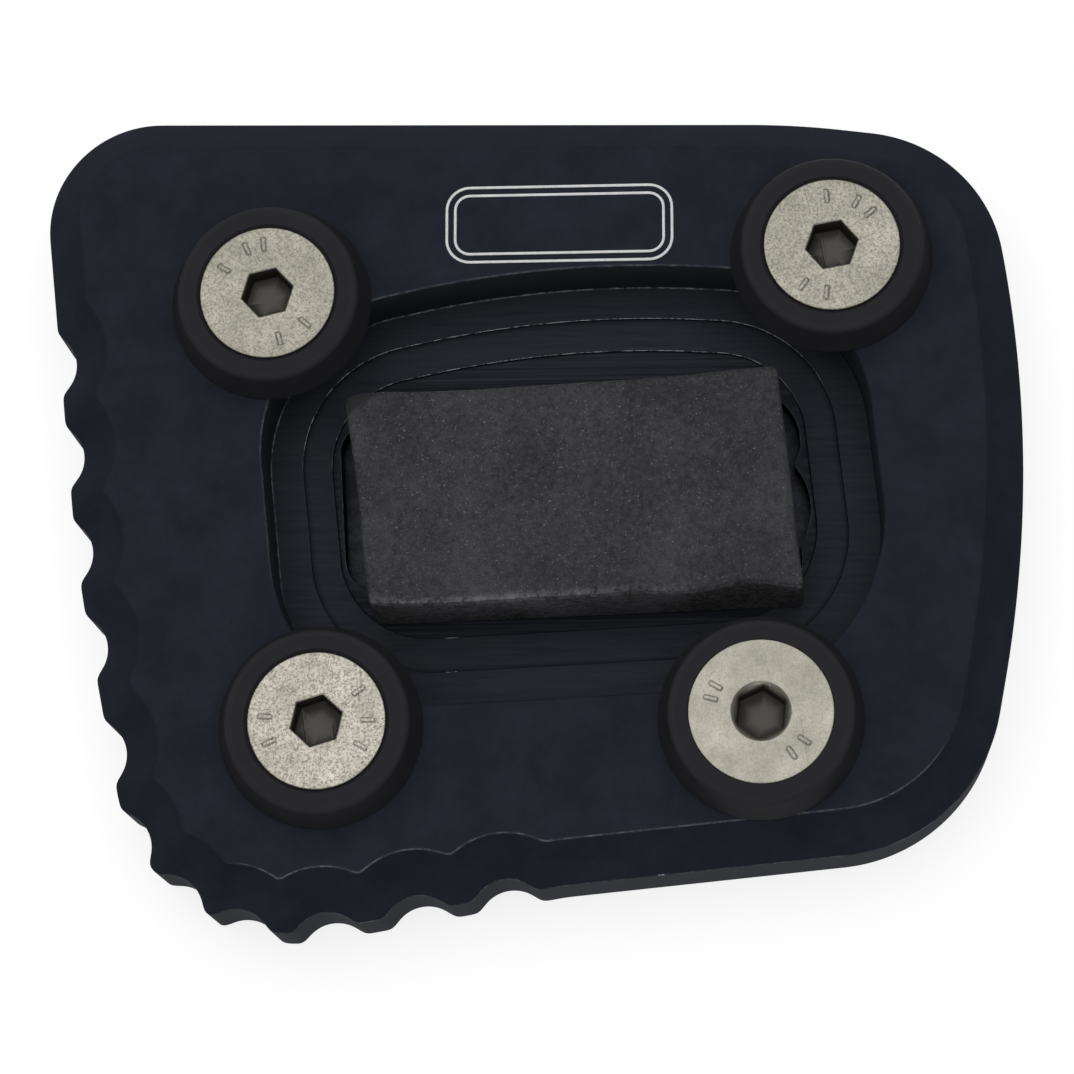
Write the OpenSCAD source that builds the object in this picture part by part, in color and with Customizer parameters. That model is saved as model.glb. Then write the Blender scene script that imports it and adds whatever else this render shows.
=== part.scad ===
/* [Foot seat] */
// Length of the frame that the corners of the foot seat lie in
seat_l = 56.3; // [52:0.1:64]
// Width of that frame
seat_w = 40.8; // [38:0.1:48]
// Depth of the seat's wall below the plate's top face
seat_depth = 6.6; // [4:0.1:7]
// Top left corner, measured in from the frame's left and top sides
seat_top_left = [0, 5.8]; // [0:0.1:8]
// Bend in the top edge, measured from the frame's left and top sides
seat_top_bend = [27.1, 0]; // [0:0.1:30]
// Top right corner, measured in from the frame's right and top sides
seat_top_right = [2.4, 1.8]; // [0:0.1:4]
// Height of the bulge of the right edge above the frame's lower side
seat_bulge_up = 15.6; // [14:0.1:18]
// Bottom right corner, measured in from the frame's right and lower sides
seat_bottom_right = [4.3, 2.2]; // [0:0.1:5]
// Bottom left corner, measured in from the frame's left and lower sides
seat_bottom_left = [3.6, 0]; // [0:0.1:5]
// Radius of the seat's four corners
seat_corner_r = 14; // [10:0.5:15]
// Radius of the bulge in its right edge
seat_bulge_r = 14; // [10:0.5:20]
// Radius of the bend in its top edge
seat_bend_r = 95; // [60:1:120]
// Width of each terrace that the cutter left on the seat's floor
terrace_w = 2.95; // [2:0.05:3.2]
// How much wider each terrace is along the lower side
terrace_low_extra = 0.5; // [0:0.1:0.6]
// Drop from one terrace to the next
terrace_step = 0.3; // [0.1:0.05:0.4]
// Radius of the solid boss that stays round each tapped hole
boss_r = 5.5; // [4.5:0.1:7]

/* [Pocket and pad] */
// Length of the pocket under the pad
pocket_l = 40.9; // [38:0.1:42]
// Width of the pocket
pocket_w = 16.8; // [14:0.1:17]
// Depth of the pocket below the last terrace
pocket_depth = 2.3; // [1:0.1:3]
// Radius of the pocket's corners
pocket_r = 2; // [1:0.1:4]
// Lean of the pocket's two short sides, in degrees
pocket_lean = 3.2; // [0:0.1:6]
// Where the pocket's centre lies from the centre of the seat's frame
pocket_shift = [0.1, -0.7]; // [-1:0.1:1]
// Heights of the two lobes of the pocket's right side above its lower side
lobe_up = [8.1, 14.4]; // [7:0.1:15]
// How far each lobe stands out past that side
lobe_out = [1.1, 0.6]; // [0.2:0.1:1.5]
// Radius of each lobe
lobe_r = [6.3, 4.8]; // [4:0.1:7]
// Length of the foam pad
pad_l = 37.9; // [34:0.1:38.4]
// Width of the pad at its left end
pad_w_left = 18.6; // [17.6:0.1:20]
// Width of the pad at its right end
pad_w_right = 19.9; // [17.6:0.1:20]
// Height of the pad
pad_h = 8.2; // [5:0.1:10]
// Turn of the pad on the seat, in degrees
pad_turn = 2.7; // [0:0.1:3]
// How far the hand-cut pad is out of square, in degrees
pad_lean = 4.2; // [0:0.1:5]
// Radius of the pad's upright corners
pad_r = 0.8; // [0.3:0.1:2]
// Radius of its top left corner, which is cut off more
pad_top_left_r = 2.4; // [0.8:0.1:4]
// Where the pad's centre lies from the centre of the seat's frame
pad_shift = [0.4, -1.2]; // [-1.2:0.1:1]

/* [Plate] */
// Thickness of the plate
plate_t = 12; // [11.5:0.1:16]
// Plate left of the seat's frame
margin_left = 20.3; // [19.5:0.1:26]
// Plate right of the seat's frame
margin_right = 14; // [13.5:0.1:20]
// Plate above the seat's frame
margin_top = 15.1; // [14.5:0.1:20]
// Plate below the seat's frame
margin_bottom = 21.2; // [20.5:0.1:26]
// Bend in the top edge, measured in from the plate frame's right and top sides
top_bend = [21.4, 1.4]; // [0:0.1:24]
// Top right corner, measured in from the frame's right and top sides
top_right = [4.5, 3.7]; // [0:0.1:6]
// Bulge of the right edge, measured down from the frame's top side
bulge_down = 33.4; // [30:0.1:38]
// Bottom right corner, measured in from the frame's right and lower sides
bottom_right = [6.6, 10]; // [0:0.1:12]
// Slight dent in the lower edge, measured from the frame's left and lower sides
bottom_dent = [47.9, 6.4]; // [0:0.1:50]
// Toe corner, measured in from the frame's left and lower sides
toe = [11.8, 0]; // [0:0.1:14]
// Bend in the left edge, measured from the frame's left and lower sides
left_bend = [4.6, 35.2]; // [0:0.1:38]
// Radius of the top left corner
top_left_r = 9.9; // [8:0.1:12]
// Radius of the top right corner
top_right_r = 13.4; // [10:0.1:15]
// Radius of the bottom right corner
bottom_right_r = 15.4; // [12:0.1:17]
// Radius of the toe corner
toe_r = 15.8; // [13:0.1:18]
// Radius of the bend in the top edge
top_bend_r = 73; // [50:1:80]
// Radius of the bulge in the right edge
bulge_r = 114; // [80:1:120]
// Radius of the dent in the lower edge
dent_r = 20; // [15:1:40]
// Radius of the bend in the left edge
left_bend_r = 119; // [80:1:130]
// Width of the bevel round the top face
bevel_w = 3.5; // [2.5:0.1:4]
// Drop of the bevel
bevel_h = 4; // [2.5:0.1:4.5]
// Bevel that breaks the lower edge
foot_break = 0.4; // [0.2:0.1:0.8]

/* [Scallops] */
// Radius of each scallop
scallop_r = 3.3; // [2.8:0.1:3.8]
// How deep each scallop bites into the edge
scallop_depth = 1.5; // [1:0.1:1.8]
// Way along the edge from the top left corner's round to the first scallop
scallop_start = 11.8; // [8:0.1:14]
// Way along the edge from each scallop to the next
scallop_gaps = [8.7, 8.8, 8.8, 9.7, 8.1, 6.6, 6.2, 7.4, 8.2, 7.8]; // [6:0.1:10]
// Reach of the soft blend that rounds the lands between the scallops
land_soft = 0.4; // [0.2:0.1:1.2]

/* [Clamp discs] */
// Diameter of a disc's foot
disc_foot_d = 18; // [17:0.1:20]
// Diameter of its top face
disc_top_d = 15.8; // [14.6:0.1:16.5]
// Height of a disc
disc_h = 3.5; // [3.4:0.1:5]
// Radius that rounds the top edge
disc_edge_r = 0.4; // [0.2:0.05:0.6]
// Countersink mouth's clearance round the head, on the diameter
mouth_clear = 0.7; // [0.4:0.1:1]
// Bore's clearance round the shank, on the diameter
bore_clear = 0.5; // [0.3:0.1:1]

/* [Screws] */
// Thread diameter
thread_d = 6; // [5:0.5:6]
// Diameter of a countersunk head
head_d = 12; // [11:0.1:12.4]
// Height of the straight rim of a head
head_rim = 0.3; // [0.2:0.1:0.5]
// Diameter of the odd screw's head, which nearly fills its countersink
odd_head_d = 12.5; // [11:0.1:12.6]
// Height of its straight rim
odd_head_rim = 0.1; // [0.1:0.1:0.5]
// Length of a screw over its head
screw_l = 14; // [10:1:14]
// Width across flats of the socket
socket_af = 4; // [3:0.1:4.5]
// Depth of the socket
socket_depth = 2.4; // [1.6:0.1:2.8]
// Diameter of the round mouth on the odd screw
round_mouth_d = 5.2; // [4.8:0.1:6]
// Bevel at the thread's end and at the tapped hole's lower mouth
thread_break = 0.6; // [0.3:0.1:1]
// Tapped hole's clearance round the thread, on the diameter
thread_clear = 0.1; // [0.1:0.05:0.3]
// Cone seat's clearance under a head
seat_clear = 0.02; // [0.02:0.01:0.1]
// Top left screw, measured in from the seat frame's left and top sides
screw_top_left = [2, 3.6]; // [0:0.1:5]
// Top right screw, measured in from the seat frame's right and top sides
screw_top_right = [4.4, 0.1]; // [0:0.1:5]
// Bottom left screw, measured in from the seat frame's left and lower sides
screw_bottom_left = [6.9, -1.3]; // [-2:0.1:8]
// Bottom right screw, measured in from the seat frame's right and lower sides
screw_bottom_right = [11.2, -0.9]; // [-2:0.1:12]
// Turn of each screw's socket: top left, top right, bottom left, bottom right
screw_turns = [13, 10, 17, 24]; // [0:1:60]

/* [Hidden] */
$fn = 96;

// Turn of each segment in the round of an outline's corner, in degrees
corner_step = 3;
// Share of an edge that the two rounds at its ends may take up
fit_share = 0.98;
// Shares of the bevel's height at which its surface is laid out
bevel_levels = [0, 0.25, 0.6, 1];
// Length of the steps along the scalloped stretch of the edge
edge_step = 0.5;
// Overshoot of a cut past the face that it opens
over = 1;

// Levels
seat_floor = plate_t - seat_depth;
pad_floor = seat_floor - 2 * terrace_step;
pocket_floor = pad_floor - pocket_depth;
rim_top = plate_t - bevel_h;
disc_top = plate_t + disc_h;

// Radii that fit each other
thread_r = thread_d / 2;
mouth_r = (head_d + mouth_clear) / 2;
bore_r = (thread_d + bore_clear) / 2;
tapped_r = (thread_d + thread_clear) / 2;
socket_corner_r = socket_af / 2 / cos(30);

function unit(v) = v / norm(v);

// Square turn to the left, which points into an anticlockwise outline from its edges
function left_of(v) = [-v[1], v[0]];

// Inward normals of the two edges that meet at corner i
function corner_normals(pts, i) = let (n = len(pts))
    [left_of(unit(pts[i] - pts[(i + n - 1) % n])), left_of(unit(pts[(i + 1) % n] - pts[i]))];

// Corners of an anticlockwise outline with each edge moved in: edge i runs from corner i to the next
function moved_in(pts, d) = let (n = len(pts)) [
    for (i = [0:n - 1]) let (
        s = corner_normals(pts, i),
        before = d[(i + n - 1) % n],
        after = d[i],
        det = s[0][0] * s[1][1] - s[0][1] * s[1][0]
    ) pts[i] + [before * s[1][1] - after * s[0][1], after * s[0][0] - before * s[1][0]] / det
];

// 1 at a corner that turns left, -1 at a dent
function turn_sign(pts, i) = let (s = corner_normals(pts, i))
    s[0][0] * s[1][1] - s[0][1] * s[1][0] > 0 ? 1 : -1;

// Radii that go with corners moved in by d: a corner's gets smaller and a dent's larger
function radii_in(pts, radii, d) = [
    for (i = [0:len(pts) - 1]) max(0.3, radii[i] - d * turn_sign(pts, i))
];

// Segments in the round of corner i
function corner_segments(pts, i) = let (s = corner_normals(pts, i))
    max(2, round(acos(min(1, s[0] * s[1])) / corner_step));

// How far corner i's round reaches along each of its edges
function reach(pts, radii, i) = let (s = corner_normals(pts, i))
    radii[i] * tan(acos(min(1, s[0] * s[1])) / 2);

// Radii cut back where two rounds would run into each other on the edge between them
function fitted(pts, radii) = let (n = len(pts)) [
    for (i = [0:n - 1]) let (
        own = reach(pts, radii, i),
        before = norm(pts[i] - pts[(i + n - 1) % n]) / (own + reach(pts, radii, (i + n - 1) % n)),
        after = norm(pts[(i + 1) % n] - pts[i]) / (own + reach(pts, radii, (i + 1) % n))
    ) radii[i] * min(1, fit_share * before, fit_share * after)
];

// Points of one rounded corner, from the arc's first tangent point to its last
function corner_arc(pts, radii, i) = let (
    n = len(pts),
    s = corner_normals(pts, i),
    bend = turn_sign(pts, i),
    middle = unit(s[0] + s[1]),
    centre = pts[i] + middle * bend * radii[i] / (middle * s[0]),
    from = -s[0] * bend,
    sweep = bend * acos(min(1, s[0] * s[1])),
    steps = corner_segments(pts, i)
) [
    for (k = [0:steps]) let (a = sweep * k / steps)
        centre + radii[i] * (from * cos(a) + left_of(from) * sin(a))
];

// An outline with all its corners rounded
function rounded(pts, radii) = [
    for (i = [0:len(pts) - 1]) each corner_arc(pts, radii, i)
];

// Frame of the seat, from its lower left corner, and the plate's frame round it
seat_right = seat_l;
seat_top = seat_w;
plate_left = -margin_left;
plate_low = -margin_bottom;
plate_right = seat_l + margin_right;
plate_top = seat_w + margin_top;

seat_corners = [
    [seat_top_left[0], seat_top - seat_top_left[1]],
    seat_bottom_left,
    [seat_right - seat_bottom_right[0], seat_bottom_right[1]],
    [seat_right, seat_bulge_up],
    [seat_right - seat_top_right[0], seat_top - seat_top_right[1]],
    [seat_top_bend[0], seat_top - seat_top_bend[1]]
];
seat_radii = fitted(seat_corners, [
    seat_corner_r, seat_corner_r, seat_corner_r, seat_bulge_r, seat_corner_r, seat_bend_r
]);
// Which of the seat's edges is the lower one
seat_low_edge = 1;

plate_corners = [
    [plate_left, plate_top],
    [plate_left, plate_low] + left_bend,
    [plate_left, plate_low] + toe,
    [plate_left, plate_low] + bottom_dent,
    [plate_right - bottom_right[0], plate_low + bottom_right[1]],
    [plate_right, plate_top - bulge_down],
    [plate_right - top_right[0], plate_top - top_right[1]],
    [plate_right - top_bend[0], plate_top - top_bend[1]]
];
plate_radii = fitted(plate_corners, [
    top_left_r, left_bend_r, toe_r, dent_r, bottom_right_r, bulge_r, top_right_r, top_bend_r
]);
plate_outline = rounded(plate_corners, plate_radii);

// The part's origin lies under the middle of the plate's own box
outline_x = [for (p = plate_outline) p[0]];
outline_y = [for (p = plate_outline) p[1]];
plate_centre = [max(outline_x) + min(outline_x), max(outline_y) + min(outline_y)] / 2;

screw_places = [
    [screw_top_left[0], seat_top - screw_top_left[1]],
    [seat_right - screw_top_right[0], seat_top - screw_top_right[1]],
    screw_bottom_left,
    [seat_right - screw_bottom_right[0], screw_bottom_right[1]]
];
// The odd screw is of another make, with a round mouth to its socket
odd_screw = 3;

// Running length at each point of an open path
function running(path) = [
    for (i = 0, s = 0; i < len(path); i = i + 1,
        s = i < len(path) ? s + norm(path[i] - path[i - 1]) : s) s
];

// The edge that carries the scallops starts where the top left corner's round ends
corner_end = corner_segments(plate_corners, 0);
scallop_path = [for (i = [corner_end:len(plate_outline) - 1]) plate_outline[i]];
scallop_path_at = running(scallop_path);

// Centre of a scallop whose deepest point lies s along the edge
function scallop_centre(s) = let (
    i = max([for (k = [0:len(scallop_path) - 2]) scallop_path_at[k] <= s ? k : 0]),
    along = unit(scallop_path[i + 1] - scallop_path[i])
) scallop_path[i] + along * (s - scallop_path_at[i]) - left_of(along) * (scallop_r - scallop_depth);

scallop_ways = [
    for (i = 0, s = scallop_start; i <= len(scallop_gaps);
        s = s + (i < len(scallop_gaps) ? scallop_gaps[i] : 0), i = i + 1) s
];
scallop_centres = [for (s = scallop_ways) scallop_centre(s)];
scallops_from = scallop_ways[0] - 2 * scallop_r;
scallops_to = scallop_ways[len(scallop_gaps)] + 2 * scallop_r;

// Inward normals of the outline at its points, in the order of the points
plate_normals = [
    for (i = [0:len(plate_corners) - 1]) let (
        s = corner_normals(plate_corners, i),
        steps = corner_segments(plate_corners, i),
        sweep = turn_sign(plate_corners, i) * acos(min(1, s[0] * s[1]))
    ) for (k = [0:steps]) s[0] * cos(sweep * k / steps) + left_of(s[0]) * sin(sweep * k / steps)
];

// Pieces that segment i of the outline is split into: short ones where scallops may bite
function pieces(i) = let (
    j = (i + 1) % len(plate_outline),
    from = i < corner_end ? -1 : scallop_path_at[i - corner_end],
    length = norm(plate_outline[j] - plate_outline[i])
) from + length > scallops_from && from < scallops_to && from >= 0 ? ceil(length / edge_step) : 1;

// Points all round the edge, each with its inward normal
edge_points = [
    for (i = [0:len(plate_outline) - 1]) let (j = (i + 1) % len(plate_outline), n = pieces(i))
        for (k = [0:n - 1]) [
            plate_outline[i] + (plate_outline[j] - plate_outline[i]) * k / n,
            unit(plate_normals[i] + (plate_normals[j] - plate_normals[i]) * k / n)
        ]
];

// Larger of two values, blended softly where they differ by less than the reach
function soft_max(a, b, reach) = max(a, b)
    + (reach > 0 ? pow(max(reach - abs(a - b), 0), 2) / reach / 4 : 0);

// How far in from edge point e a circle round centre c reaches, along the point's normal, or
// less than nothing where it doesn't come near
function bite(e, c, radius) = let (
    v = c - e[0],
    out = v * e[1],
    off = v * v - out * out
) out < 0 && norm(v) < 2 * radius && off < radius * radius
    ? out + sqrt(radius * radius - off)
    : -radius;

// The scalloped outline moved in by d: each scallop's radius grows by as much
function edge_ring(d) = [
    for (e = edge_points) let (
        deepest = max([for (c = scallop_centres) bite(e, c, scallop_r + d)])
    ) e[0] + e[1] * soft_max(d, deepest, max(0, land_soft - d))
];

// Solid between rings that have the same number of points, given as [height, ring] from the bottom up
module loft(levels) {
    n = len(levels[0][1]);
    last = len(levels) - 1;
    points = [for (level = levels) for (p = level[1]) [p[0], p[1], level[0]]];
    sides = [
        for (k = [0:last - 1]) for (i = [0:n - 1]) let (j = (i + 1) % n)
            [k * n + i, (k + 1) * n + i, (k + 1) * n + j, k * n + j]
    ];
    polyhedron(
        points,
        concat([[for (i = [0:n - 1]) i]], sides, [[for (i = [n - 1:-1:0]) last * n + i]]),
        convexity = 4
    );
}

// The plate's body: broken lower edge, upright rim, and the bevel that follows the scallops
module plate_body() {
    loft(concat(
        [[0, edge_ring(foot_break)], [foot_break, edge_ring(0)]],
        [for (t = bevel_levels) [rim_top + t * bevel_h, edge_ring(t * bevel_w)]]
    ));
}

// Plan of the seat's terrace number k, from the wall inwards
module terrace_plan(k) {
    d = [for (i = [0:len(seat_corners) - 1])
        k * (terrace_w + (i == seat_low_edge ? terrace_low_extra : 0))];
    polygon(rounded(moved_in(seat_corners, d), radii_in(seat_corners, seat_radii, k * terrace_w)));
}

// The seat: a walled recess whose floor steps down to the pad
module seat_cut() {
    for (k = [0:2])
        translate([0, 0, seat_floor - k * terrace_step])
            linear_extrude(plate_t - seat_floor + k * terrace_step + over) terrace_plan(k);
}

// The pocket under the pad, with two lobes where a round cutter ran past its right side
module pocket_cut() {
    half_l = pocket_l / 2;
    half_w = pocket_w / 2;
    lean = half_w * tan(pocket_lean);
    box = [
        [-half_l - lean, half_w], [-half_l + lean, -half_w],
        [half_l + lean, -half_w], [half_l - lean, half_w]
    ];
    middle = [seat_l, seat_w] / 2 + pocket_shift;
    translate([middle[0], middle[1], pocket_floor])
        linear_extrude(pocket_depth + over) {
            polygon(rounded(box, [for (p = box) pocket_r]));
            for (k = [0, 1]) {
                y = lobe_up[k] - half_w;
                x = half_l - y * tan(pocket_lean) + lobe_out[k] - lobe_r[k];
                translate([x, y]) circle(lobe_r[k]);
            }
        }
}

// A tapped hole right through the plate, with its lower mouth broken
module tapped_hole() {
    translate([0, 0, -over]) cylinder(h = plate_t + 2 * over, r = tapped_r);
    translate([0, 0, -over])
        cylinder(h = thread_break + over, r1 = tapped_r + thread_break + over, r2 = tapped_r);
}

// Machined plate: bevelled and scalloped outline, terraced seat, pocket and four tapped holes
module base_plate() {
    color([0.13, 0.14, 0.17]) translate(-plate_centre)
        difference() {
            plate_body();
            difference() {
                union() {
                    seat_cut();
                    pocket_cut();
                }
                for (c = screw_places) translate(c) cylinder(h = plate_t + 2 * over, r = boss_r);
            }
            for (c = screw_places) translate(c) tapped_hole();
        }
}

// Foam block, cut by hand, that lies across the pocket and gives way over a terrace's edge
module foam_pad() {
    half_l = pad_l / 2;
    lean = tan(pad_lean);
    left = pad_w_left / 2;
    right = pad_w_right / 2;
    block = [
        [-half_l - left * lean, left], [-half_l + left * lean, -left],
        [half_l + right * lean, -right], [half_l - right * lean, right]
    ];
    middle = [seat_l, seat_w] / 2 + pad_shift - plate_centre;
    color([0.22, 0.22, 0.23]) difference() {
        translate([middle[0], middle[1], pad_floor]) rotate(pad_turn)
            linear_extrude(pad_h) polygon(rounded(block, [pad_top_left_r, pad_r, pad_r, pad_r]));
        translate([-plate_centre[0], -plate_centre[1], pad_floor - over])
            linear_extrude(over + terrace_step) difference() {
                terrace_plan(0);
                terrace_plan(2);
            }
    }
}

// Turned disc that grips the edge of the stand's foot, at one of the four screws
module clamp_disc(i) {
    place = screw_places[i] - plate_centre;
    flank = unit([disc_top_d / 2 - disc_foot_d / 2, disc_h]);
    tilt = atan2(-flank[0], flank[1]);
    edge_centre = [disc_top_d / 2, disc_h] - [disc_edge_r * (cos(tilt) + 1) / 2, disc_edge_r];
    color([0.16, 0.16, 0.165]) translate([place[0], place[1], plate_t])
        rotate_extrude()
            polygon(concat(
                [[bore_r, 0], [disc_foot_d / 2, 0]],
                [for (a = [0:5]) let (t = tilt + (90 - tilt) * a / 5)
                    edge_centre + disc_edge_r * [cos(t), sin(t)]],
                [[mouth_r, disc_h], [bore_r, disc_h - (mouth_r - bore_r)]]
            ));
}

// Countersunk screw with a hexagon socket, at one of the four discs
module screw(i) {
    place = screw_places[i] - plate_centre;
    head_r = (i == odd_screw ? odd_head_d : head_d) / 2;
    rim = i == odd_screw ? odd_head_rim : head_rim;
    // The cone of the head lies seat_clear off the disc's countersink, measured square to it
    cone_top = disc_top - (mouth_r - head_r) + seat_clear * sqrt(2);
    cone_low = cone_top - (head_r - thread_r);
    top = cone_top + rim;
    tip = top - screw_l;
    mouth_depth = (round_mouth_d - socket_af) / 2;
    color([0.62, 0.61, 0.57]) translate([place[0], place[1], 0]) rotate(screw_turns[i])
        difference() {
            rotate_extrude()
                polygon([
                    [0, tip], [thread_r - thread_break, tip], [thread_r, tip + thread_break],
                    [thread_r, cone_low], [head_r, cone_top], [head_r, top], [0, top]
                ]);
            translate([0, 0, top - socket_depth])
                cylinder(h = socket_depth + over, r = socket_corner_r, $fn = 6);
            if (i == odd_screw)
                translate([0, 0, top - mouth_depth])
                    cylinder(
                        h = mouth_depth + over,
                        r1 = socket_af / 2, r2 = round_mouth_d / 2 + over
                    );
        }
}

base_plate();
foam_pad();
clamp_disc(0);  // clamp_disc_top_left
clamp_disc(1);  // clamp_disc_top_right
clamp_disc(2);  // clamp_disc_bottom_left
clamp_disc(3);  // clamp_disc_bottom_right
screw(0);  // screw_top_left
screw(1);  // screw_top_right
screw(2);  // screw_bottom_left
screw(3);  // screw_bottom_right
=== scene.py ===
"""Looks of a kickstand foot enlarger: plate, foam pad, clamp discs and countersunk screws.

Sizes are in millimetres in the row frame and become metres when a mesh is made. X runs to the right
along the plate's length, Y away from the viewer, and Z up out of the seat.
"""

import logging
import math
from dataclasses import dataclass, field
from enum import Enum

import bmesh
import bpy
import numpy as np
from mathutils import Matrix, Vector
from mathutils.geometry import tessellate_polygon


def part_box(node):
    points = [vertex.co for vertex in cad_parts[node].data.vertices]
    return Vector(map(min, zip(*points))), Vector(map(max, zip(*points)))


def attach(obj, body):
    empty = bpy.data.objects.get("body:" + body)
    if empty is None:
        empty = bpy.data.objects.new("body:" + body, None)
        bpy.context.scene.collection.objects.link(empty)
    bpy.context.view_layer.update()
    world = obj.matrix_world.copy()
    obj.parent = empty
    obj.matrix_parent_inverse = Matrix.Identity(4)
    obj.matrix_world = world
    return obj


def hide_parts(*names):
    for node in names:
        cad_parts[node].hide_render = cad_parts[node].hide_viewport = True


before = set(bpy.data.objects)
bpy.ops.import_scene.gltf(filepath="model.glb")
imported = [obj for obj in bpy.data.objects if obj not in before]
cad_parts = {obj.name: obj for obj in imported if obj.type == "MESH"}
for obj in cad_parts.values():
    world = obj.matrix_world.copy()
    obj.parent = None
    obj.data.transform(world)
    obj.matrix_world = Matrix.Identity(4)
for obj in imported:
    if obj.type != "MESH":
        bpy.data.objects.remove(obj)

LOG = logging.getLogger("foot_enlarger")
MM = 0.001
MERGE = 1e-6
WHITE = (1.0, 1.0, 1.0, 1.0)
# Inputs of a Mix node of colours
SHARE, UNDER, OVER = 0, 6, 7
Value = float | tuple[float, ...] | bpy.types.NodeSocket | bpy.types.Node


class Place(Enum):
    """Where a disc and its screw sit on the plate."""

    TOP_LEFT = "top_left"
    TOP_RIGHT = "top_right"
    BOTTOM_LEFT = "bottom_left"
    BOTTOM_RIGHT = "bottom_right"


class Socket(Enum):
    """How the mouth of a screw's hexagon socket is finished."""

    PLAIN = "plain"
    ROUND_MOUTH = "round_mouth"


# ---- numbers and curves ----


def unit(v: np.ndarray) -> np.ndarray:
    """Vectors along the last axis, scaled to length 1."""
    return v / np.linalg.norm(v, axis=-1, keepdims=True)


def left_of(v: np.ndarray) -> np.ndarray:
    """Plane vectors turned a quarter turn to the left."""
    return np.stack([-v[..., 1], v[..., 0]], axis=-1)


def turned(v: np.ndarray, angle: np.ndarray) -> np.ndarray:
    """A plane vector turned by each angle: v cos(a) plus its left vector times sin(a)."""
    a = np.asarray(angle)[..., None]
    return v * np.cos(a) + left_of(v) * np.sin(a)


def smooth(t: np.ndarray) -> np.ndarray:
    """Smooth step from 0 to 1 as t goes from 0 to 1: 3 t squared less 2 t cubed."""
    t = np.clip(t, 0.0, 1.0)
    return t * t * (3.0 - 2.0 * t)


def soft_max(a: np.ndarray, b: np.ndarray, reach: np.ndarray) -> np.ndarray:
    """Larger of a and b, raised by (reach - |a - b|) squared / (4 reach) where they nearly agree."""
    reach = np.maximum(reach, 1e-6)
    return np.maximum(a, b) + np.clip(reach - np.abs(a - b), 0.0, None) ** 2 / (4.0 * reach)


@dataclass(frozen=True)
class Profile:
    """A section line whose corners are rounded, with the wear that each of its points has.

    Attributes:
        points: Array (k, 2) of the section's two coordinates.
        wear: Array (k,), 1 in the middle of a rounded edge that stands proud and 0 elsewhere.
    """

    points: np.ndarray
    wear: np.ndarray

    @staticmethod
    def rounded(
        corners: list[tuple[float, float]],
        radii: list[float],
        closed: bool = False,
        steps: int = 5,
        support: float = 0.06,
    ) -> "Profile":
        """Rounds each corner by an arc that touches both of its edges.

        The arc's centre lies radius / cos(half the turn) from the corner. A support point stands a
        little way along each edge before and after the arc, so that flat stretches shade flat.

        Args:
            corners: The corners in order.
            radii: Radius at each corner, 0 for a sharp one. A negative radius is an inside corner
                that shows no wear.
            closed: True if the last corner joins the first.
            steps: Segments in each arc.
            support: Length of the support stretches.

        Returns:
            The rounded profile.
        """
        pts = np.array(corners, float)
        count = len(pts)
        out: list[np.ndarray] = []
        wear: list[np.ndarray] = []
        for i in range(count):
            end = not closed and i in (0, count - 1)
            radius = abs(radii[i])
            if end or radius == 0.0:
                out.append(pts[i][None])
                wear.append(np.zeros(1))
                continue
            before = unit(pts[i] - pts[i - 1])
            after = unit(pts[(i + 1) % count] - pts[i])
            bend = np.sign(before[0] * after[1] - before[1] * after[0])
            turn = math.acos(float(np.clip(before @ after, -1.0, 1.0)))
            reach = radius * math.tan(turn / 2)
            centre = pts[i] - before * reach + left_of(before) * bend * radius
            t = np.linspace(0.0, 1.0, steps + 1)
            arc = centre + turned(-left_of(before) * bend * radius, bend * turn * t)
            out += [(arc[0] - before * support)[None], arc, (arc[-1] + after * support)[None]]
            bell = np.sin(np.pi * t) * (1.0 if radii[i] > 0 else 0.0)
            wear += [np.zeros(1), bell, np.zeros(1)]
        return Profile(np.concatenate(out), np.concatenate(wear))


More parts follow.
